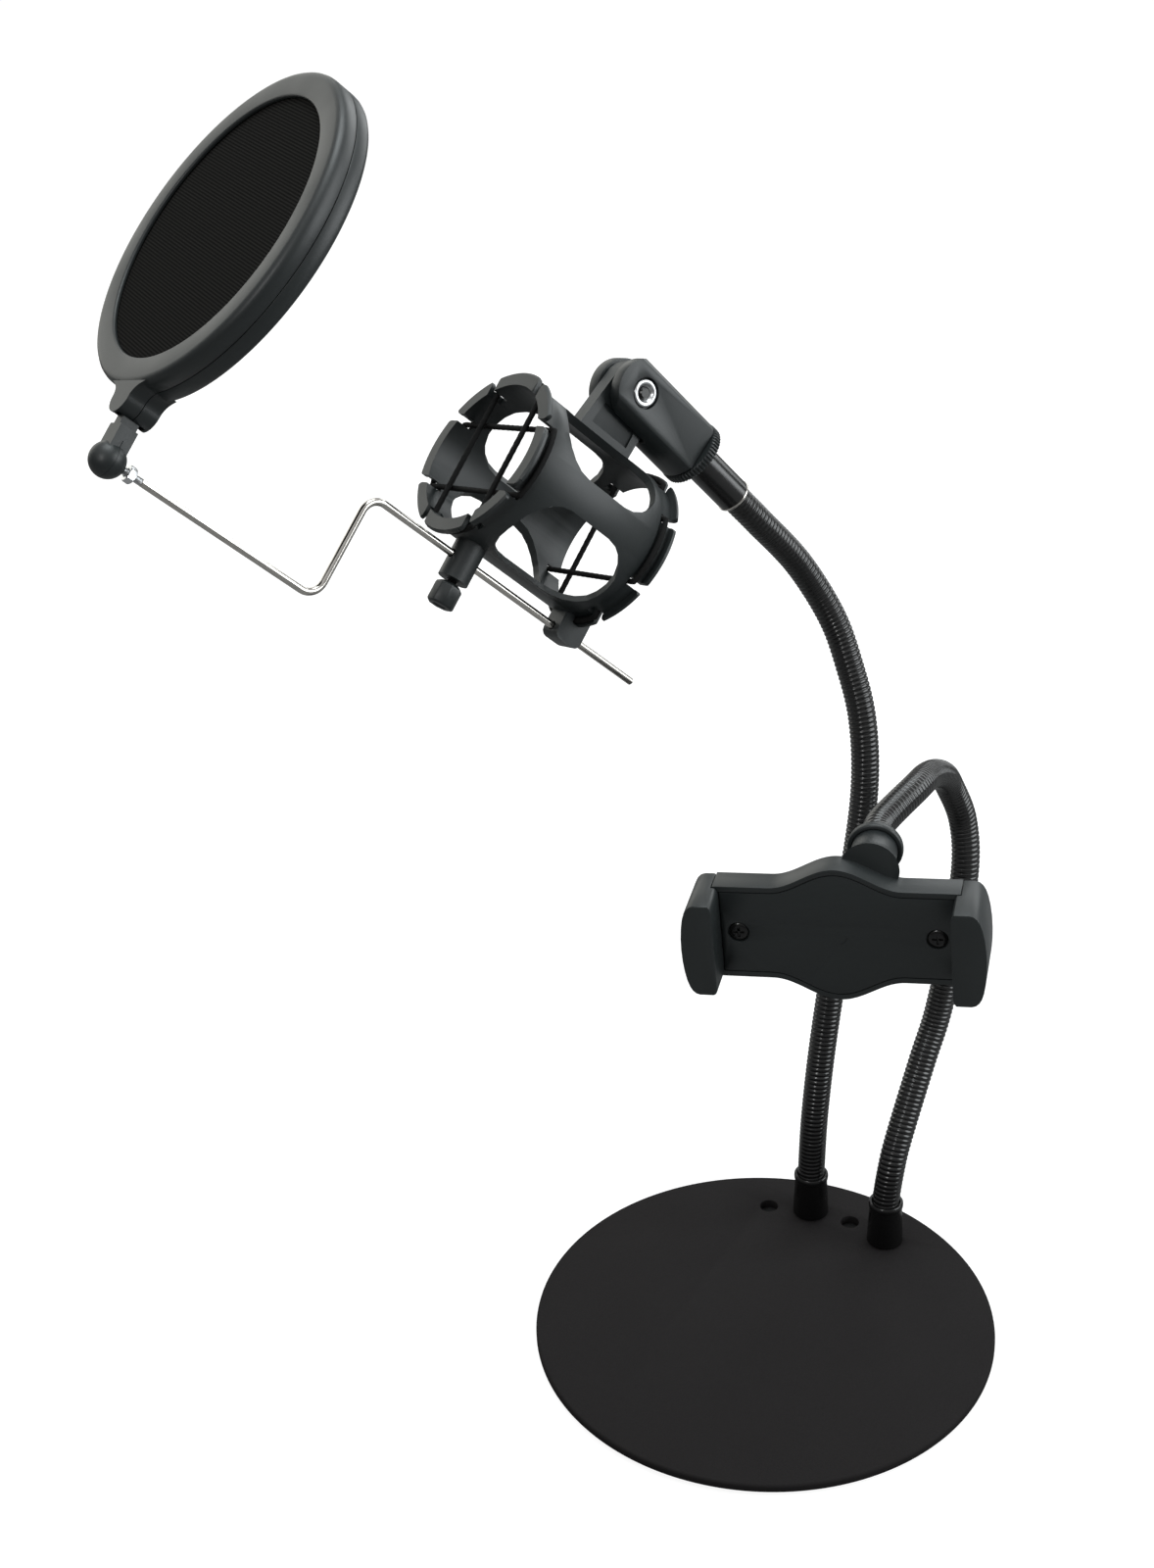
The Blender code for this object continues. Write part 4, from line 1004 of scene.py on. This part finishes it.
def make_wire():
    tail = Vector((WIRE_TAIL_U, WIRE_V, 0))
    upper = Vector((WIRE_BEND_U, WIRE_V, 0))
    lower = Vector((WIRE_BEND_U, WIRE_LOW_V, 0))
    tip = Vector((WIRE_TIP_U, WIRE_LOW_V, 0))
    thread_start = Vector((WIRE_TIP_U + THREAD_LENGTH, WIRE_LOW_V, 0))
    route = [tail, tail + Vector((-0.4, 0, 0))]
    route += bend_points(upper, tail, lower, BEND_RADIUS, 16)
    route += bend_points(lower, upper, tip, BEND_RADIUS, 16)
    route.append(thread_start)
    radii = [WIRE_RADIUS] * len(route)
    radii[0] = WIRE_RADIUS - 0.4
    new_object("filter_wire", wire_mesh(route, radii, "filter_wire"), STEEL, HEAD)
    low, high = WIRE_TIP_U - WIRE_INSIDE, WIRE_TIP_U + THREAD_LENGTH
    outline = thread_profile(WIRE_RADIUS - 0.02, low, high)
    rod = turned([(0.0, low), *outline, (0.0, high)], "x", 12, (0, WIRE_LOW_V, 0))
    obj = plain_object("wire_thread", mesh_from(rod, "wire_thread"), ZINC, HEAD)
    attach(obj, BODY_OF["filter_wire"])
    low, high = WIRE_TIP_U + 0.6, WIRE_TIP_U + 3.4
    centre = (0, WIRE_LOW_V, 0)
    nut = prism(polygon(3.3, 6), low, high, "x", centre)
    dome = [(2.9, low), (3.3, low + 0.4), (3.3, high - 0.4), (2.9, high)]
    bore = turned([(WIRE_RADIUS + GAP, -140), (WIRE_RADIUS + GAP, -100)], "x", 16, centre)
    tools = [("INTERSECT", turned(dome, "x", 24, centre)), ("DIFFERENCE", bore)]
    combine("wire_nut", nut, tools, HEAD, ZINC, bevel=0.08)


def make_ball_stem():
    ball_x = BALL_U - HOOP_CENTRE.x
    low = -BALL_DISTANCE
    steps = 28
    profile = []
    for i in range(steps + 1):
        angle = math.pi * i / steps
        profile.append((BALL_RADIUS * math.sin(angle), ball_x - BALL_RADIUS * math.cos(angle)))
    ball = turned(profile, "x", 32, (0, low, 0))
    eye = prism(arc((0, low + BOSS_FROM_BALL), 3.6, 0, 360, 32)[:-1], -2.2, 2.2)
    neck = box((-3.4, low + 9, -2.2), (3.4, low + BOSS_FROM_BALL, 2.2))
    block = box((ball_x - 3.6, low, -4.2), (ball_x + 3.6, low + 12.5, 4.2))
    wire_bore = turned([(WIRE_BORE, ball_x + 1), (WIRE_BORE, ball_x + 12)], "x", 16, (0, low, 0))
    pin_bore = turned([(1.6, -9), (1.6, 9)], "z", 12, (0, low + BOSS_FROM_BALL, 0))
    seam_low, seam_high = ball_x - 0.1, ball_x + 0.1
    seam = tube_ring(BALL_RADIUS - 0.12, BALL_RADIUS + 2, seam_low, seam_high, "x", 40, (0, low, 0))
    tools = [
        ("UNION", block),
        ("UNION", neck),
        ("UNION", eye),
        ("DIFFERENCE", wire_bore),
        ("DIFFERENCE", pin_bore),
        ("DIFFERENCE", seam),
    ]
    combine("ball_stem", ball, tools, HOOP, PLASTIC, bevel=0.3)


def boss_outline(pivot_y, steps):
    """The boss under the hoop as (y, z) points: round below, spreading into the rim above."""
    blend = [(1.2, 6.1), (2.4, 6.6), (3.5, 7.4), (4.5, 8.6), (5.4, 10.2), (6.3, 12.4)]
    right = [(pivot_y + y, -z) for y, z in blend]
    left = [(pivot_y + y, z) for y, z in reversed(blend)]
    return arc((pivot_y, 0), BOSS_RADIUS, 90, 270, steps) + right + left


def hoop_half(name, front):
    half = HOOP_THICK / 2
    sign = -1 if front else 1
    seam = sign * 0.15
    face = sign * half
    seat = sign * (half - LIP_THICK)
    profile = [
        (HOOP_RADIUS - 0.15, seam),
        (HOOP_RADIUS, sign * 0.35),
        (HOOP_RADIUS, sign * (half - 3.4)),
        (HOOP_RADIUS - 0.12, sign * (half - 2.4)),
        (HOOP_RADIUS - 0.5, sign * (half - 1.4)),
        (HOOP_RADIUS - 1.2, sign * (half - 0.6)),
        (HOOP_RADIUS - 2.2, sign * (half - 0.12)),
        (HOOP_RADIUS - 3.2, face),
        (HOOP_OPENING + 1.0, face),
        (HOOP_OPENING + 0.4, sign * (half - 0.15)),
        (HOOP_OPENING + 0.1, sign * (half - 0.45)),
        (HOOP_OPENING, sign * (half - 0.8)),
        (HOOP_OPENING, seat + sign * 0.2),
        (HOOP_OPENING + 0.2, seat),
        (MESH_RADIUS + GAP, seat),
        (MESH_RADIUS + GAP, seam),
        (HOOP_RADIUS - 0.15, seam),
    ]
    pivot_y = -BALL_DISTANCE + BOSS_FROM_BALL
    boss_rings = []
    for x in sorted((seam, face - sign * 0.2)):
        boss_rings.append([Vector((x, y, z)) for y, z in boss_outline(pivot_y, 24)])
    pocket = box((-5.9, pivot_y - 20, -2.5), (5.9, pivot_y + 4.0, 2.5))
    pin = turned([(1.7, -4.7), (1.7, 4.7)], "z", 12, (0, pivot_y, 0))
    tools = [("UNION", loft(boss_rings)), ("DIFFERENCE", pocket), ("DIFFERENCE", pin)]
    combine(name, turned(profile, "x", 96), tools, HOOP, PLASTIC, bevel=0.5)


def make_hoop():
    hoop_half("hoop_front_shell", True)
    hoop_half("hoop_rear_shell", False)
    seat = HOOP_THICK / 2 - LIP_THICK - GAP
    for name, sign in (("mesh_front", -1), ("mesh_rear", 1)):
        low, high = sorted((sign * (seat - MESH_THICK / 2), sign * seat))
        disc = turned([(MESH_RADIUS, low), (MESH_RADIUS, high)], "x", 96)
        obj = new_object(name, mesh_from(disc, name), FABRIC, HOOP)


# ---- phone clamp ----


def make_phone_shells():
    hollow_front, hollow_back = 2.3, 8.3
    screw_places = ((-PHONE_SCREW_X, 0.0), (PHONE_SCREW_X, 0.0))
    shell = prism(wavy_outline(0.0, PLATE_HALF, 40), 0.0, SHELL_DEPTH, "y")
    hollow = prism(wavy_outline(SHELL_WALL, PLATE_HALF - SHELL_WALL, 40), -1.0, hollow_back, "y")
    ends = box((-PLATE_HALF - 5, 3.4, -15.6), (PLATE_HALF + 5, hollow_back, 15.6))
    tools = [("DIFFERENCE", hollow), ("DIFFERENCE", ends)]
    for x, z in screw_places:
        tools.append(("UNION", turned([(3.2, hollow_front + GAP), (3.2, 9.0)], "y", 16, (x, 0, z))))
        tools.append(("DIFFERENCE", turned([(1.8, 0.0), (1.8, 8.0)], "y", 12, (x, 0, z))))
    tools.append(("UNION", turned([(3.0, 3.0), (3.0, 9.0)], "y", 12)))
    outer = [
        (SOCKET_RADIUS + 2.5, 9.5),
        (SOCKET_RADIUS + 1.5, 11.4),
        (SOCKET_RADIUS + 0.8, 13.0),
        (SOCKET_RADIUS, 17.0),
        (SOCKET_RADIUS, 27.0),
    ]
    tools.append(("UNION", turned(outer, "y", 32, (SOCKET_X, 0, SOCKET_Z))))
    inner = [
        (0.0, BALL_STUD_Y - 7.6),
        (4.2, BALL_STUD_Y - 6.2),
        (6.6, BALL_STUD_Y - 3.0),
        (7.1, BALL_STUD_Y),
        (7.2, 35.0),
    ]
    tools.append(("DIFFERENCE", turned(inner, "y", 24, (SOCKET_X, 0, SOCKET_Z))))
    combine("clamp_back_shell", shell, tools, PHONE, PLASTIC, bevel=0.45)

    plate = prism(wavy_outline(2.6, PLATE_HALF - 2.6, 40), 0.0, 2.0, "y")
    tools = []
    for x, z in screw_places:
        tools.append(("DIFFERENCE", turned([(4.3, -1.0), (4.3, 1.4)], "y", 24, (x, 0, z))))
        tools.append(("DIFFERENCE", turned([(1.8, -1.0), (1.8, 4.0)], "y", 12, (x, 0, z))))
    mark = [(r * math.cos(a), r * math.sin(a)) for r, a in mould_mark()]
    tools.append(("DIFFERENCE", prism([(b, a) for a, b in mark], -1.0, 0.25, "y")))
    combine("clamp_front_plate", plate, tools, PHONE, PLASTIC, bevel=0.25)

    for side, (x, z) in zip(("left", "right"), screw_places):
        profile = [(0.0, 0.0), (2.4, 0.05), (3.3, 0.25), (3.9, 0.7), (3.9, 1.1)]
        profile += [(1.4, 1.1), (1.4, 7.0), (0.0, 7.0)]
        head = turned(profile, "y", 20, (x, 0, z))
        slot_a = box((x - 2.2, -1.0, z - 0.45), (x + 2.2, 0.75, z + 0.45))
        slot_b = box((x - 0.45, -1.0, z - 2.2), (x + 0.45, 0.75, z + 2.2))
        tools = [("DIFFERENCE", slot_a), ("DIFFERENCE", slot_b)]
        combine(f"clamp_screw_{side}", head, tools, PHONE, BLACK_STEEL, bevel=0.08)


def mould_mark():
    """A short crescent where the plate was moulded, as (radius, angle) points."""
    start, end = math.radians(-75), math.radians(-5)
    angles = [start + (end - start) * i / 8 for i in range(9)]
    outer = [(4.1, angle) for angle in angles]
    inner = [(3.75 - 0.15 * math.sin(math.pi * i / 8), angles[i]) for i in range(1, 8)]
    return outer + inner[::-1]


def make_ball_nut():
    inner = SOCKET_RADIUS + GAP
    outline = [
        (inner, 24.8),
        (10.4, 24.8),
        (10.8, 25.1),
        (11.0, 25.7),
        (11.05, 26.8),
        (10.9, 28.0),
        (10.5, 28.9),
        (9.8, 29.5),
        (8.8, 29.85),
        (7.6, 30.0),
        (6.0, 30.0),
        (6.4, 28.0),
        (inner, 27.6),
        (inner, 24.8),
    ]
    ring = turned(outline, "y", 40, (SOCKET_X, 0, SOCKET_Z))
    new_object("ball_nut", mesh_from(ring, "ball_nut"), PLASTIC, PHONE)


def make_jaw(name, side):
    quarter = [(JAW_INNER, 17.0), (JAW_INNER + 0.4, 18.9), (JAW_INNER + 1.2, 20.0)]
    quarter += [(52.4, 20.0), (54.0, 19.5), (55.3, 18.3), (56.3, 16.5)]
    quarter += [(57.2, 13.6), (57.9, 9.6), (58.35, 5.0)]
    face = [(x, -z) for x, z in reversed(quarter)] + quarter + [(JAW_OUTER, 0.0)]
    outline = [(z, side * x) for x, z in face]
    block = prism(outline, JAW_FRONT, SHELL_DEPTH - 0.2, "y")
    reach = PLATE_HALF + GAP
    tools = [("DIFFERENCE", box((-reach, -GAP, -40), (reach, SHELL_DEPTH + 5, 40)))]
    bridge = 21.0
    for z_sign in (-1, 1):
        low_z, high_z = sorted((z_sign * RAIL_INNER, z_sign * RAIL_OUTER))
        low_x, high_x = sorted((side * bridge, side * (PLATE_HALF + 4)))
        tools.append(("UNION", box((low_x, RAIL_FRONT, low_z), (high_x, RAIL_BACK, high_z))))
    low_x, high_x = sorted((side * bridge, side * (bridge + 3.0)))
    tools.append(("UNION", box((low_x, RAIL_FRONT, -RAIL_OUTER), (high_x, RAIL_BACK, RAIL_OUTER))))
    combine(name, block, tools, PHONE, PLASTIC, bevel=1.1)


# ---- stage ----


def make_camera():
    data = bpy.data.cameras.new("camera")
    data.lens = CAMERA_LENS
    data.sensor_width = CAMERA_SENSOR
    data.clip_end = 50.0
    camera = bpy.data.objects.new("camera", data)
    rotation = Matrix((CAMERA_RIGHT, CAMERA_UP, CAMERA_RIGHT.cross(CAMERA_UP))).transposed().to_4x4()
    camera.matrix_world = Matrix.Translation(CAMERA_PLACE) @ rotation
    bpy.context.scene.collection.objects.link(camera)
    bpy.context.scene.camera = camera


def make_floor():
    bpy.ops.mesh.primitive_plane_add(size=12.0, location=(0, 0, -0.0004))
    floor = bpy.context.active_object
    floor.name = "studio_floor"
    made, tree, shader = principled("studio_floor")
    shader.inputs["Emission Color"].default_value = (1.0, 1.0, 1.0, 1.0)
    shader.inputs["Emission Strength"].default_value = FLOOR_GLOW
    path = tree.nodes.new("ShaderNodeLightPath")
    mix = tree.nodes.new("ShaderNodeMixShader")
    bounce = tree.nodes.new("ShaderNodeBsdfDiffuse")
    bounce.inputs["Color"].default_value = (0.22, 0.22, 0.22, 1.0)
    tree.links.new(path.outputs["Is Camera Ray"], mix.inputs["Fac"])
    tree.links.new(bounce.outputs["BSDF"], mix.inputs[1])
    tree.links.new(shader.outputs["BSDF"], mix.inputs[2])
    tree.links.new(mix.outputs["Shader"], tree.nodes["Material Output"].inputs["Surface"])
    noise = tree.nodes.new("ShaderNodeTexNoise")
    noise.inputs["Scale"].default_value = 3.0
    tint = tree.nodes.new("ShaderNodeMix")
    tint.data_type = "RGBA"
    tint.inputs["A"].default_value = (0.24, 0.24, 0.24, 1.0)
    tint.inputs["B"].default_value = (0.26, 0.26, 0.26, 1.0)
    tree.links.new(noise.outputs["Fac"], tint.inputs["Factor"])
    tree.links.new(tint.outputs["Result"], shader.inputs["Base Color"])
    shader.inputs["Roughness"].default_value = 0.9
    shader.inputs["Specular IOR Level"].default_value = 0.1
    floor.data.materials.append(made)


def make_light(name, place, target, size, power, colour=(1, 1, 1)):
    data = bpy.data.lights.new(name, "AREA")
    data.shape = "RECTANGLE"
    data.size, data.size_y = size
    data.energy = power
    data.color = colour
    light = bpy.data.objects.new(name, data)
    light.visible_camera = False
    aim = Vector(target) - Vector(place)
    light.matrix_world = Matrix.Translation(place) @ aim.to_track_quat("-Z", "Y").to_matrix().to_4x4()
    bpy.context.scene.collection.objects.link(light)


def make_world():
    """White where the camera looks past the object, and a soft grey dome for the light."""
    world = bpy.data.worlds.new("studio")
    bpy.context.scene.world = world
    world.use_nodes = True
    tree = world.node_tree
    tree.nodes.clear()
    out = tree.nodes.new("ShaderNodeOutputWorld")
    mix = tree.nodes.new("ShaderNodeMixShader")
    path = tree.nodes.new("ShaderNodeLightPath")
    seen = tree.nodes.new("ShaderNodeBackground")
    seen.inputs["Color"].default_value = (1.0, 1.0, 1.0, 1.0)
    seen.inputs["Strength"].default_value = WORLD_SEEN
    lit = tree.nodes.new("ShaderNodeBackground")
    place = tree.nodes.new("ShaderNodeTexCoord")
    split = tree.nodes.new("ShaderNodeSeparateXYZ")
    tree.links.new(place.outputs["Generated"], split.inputs["Vector"])
    ramp = tree.nodes.new("ShaderNodeMapRange")
    ramp.interpolation_type = "SMOOTHSTEP"
    ramp.inputs["From Min"].default_value = 0.1
    ramp.inputs["From Max"].default_value = 1.0
    ramp.inputs["To Min"].default_value = WORLD_LOW
    ramp.inputs["To Max"].default_value = WORLD_HIGH
    tree.links.new(split.outputs["Z"], ramp.inputs["Value"])
    tree.links.new(ramp.outputs["Result"], lit.inputs["Strength"])
    tree.links.new(path.outputs["Is Camera Ray"], mix.inputs["Fac"])
    tree.links.new(lit.outputs["Background"], mix.inputs[1])
    tree.links.new(seen.outputs["Background"], mix.inputs[2])
    tree.links.new(mix.outputs["Shader"], out.inputs["Surface"])


def finish_carried_nodes():
    """The CAD nodes that show as they are get the finish of their slot."""
    for node, obj in frame["nodes"].items():
        if obj.hide_render:
            continue
        obj.data.materials.clear()
        obj.data.materials.append(material(FINISH_OF_SLOT[SLOT_OF[node]]))


def main():
    make_camera()
    make_base()
    make_foot("mic", MIC_FOOT)
    make_foot("phone", PHONE_FOOT)
    make_neck("mic_neck", mic_neck_knots())
    make_neck("phone_neck", phone_neck_knots())
    make_neck_top()
    make_swivel()
    make_basket()
    make_cords()
    make_clamp_screw()
    make_wire()
    make_ball_stem()
    make_hoop()
    make_phone_shells()
    make_ball_nut()
    for name, side in (("left", -1), ("right", 1)):
        make_jaw(f"clamp_jaw_{name}", side)
    finish_carried_nodes()
    make_floor()
    make_world()
    make_light("overhead", (-0.1, 0.25, 1.75), (-0.02, 0, 0.3), (0.9, 0.9), 12, (0.93, 1.0, 1.02))
    make_light("back_panel", (0.2, 1.7, 0.9), (0, 0, 0.3), (1.6, 0.8), 9, (0.97, 1.0, 1.01))
    make_light("left_panel", (-1.5, 0.8, 0.75), (-0.1, 0, 0.4), (1.9, 1.1), 9, (1.0, 1.0, 0.94))
    make_light("right_panel", (1.5, 0.45, 0.85), (0, 0, 0.3), (1.4, 1.1), 21, (0.96, 1.0, 1.02))
    make_light("front_key", (-0.15, -1.6, 1.35), (0, 0, 0.25), (0.22, 0.5), 6)
    bpy.context.scene.view_settings.view_transform = "Standard"


main()
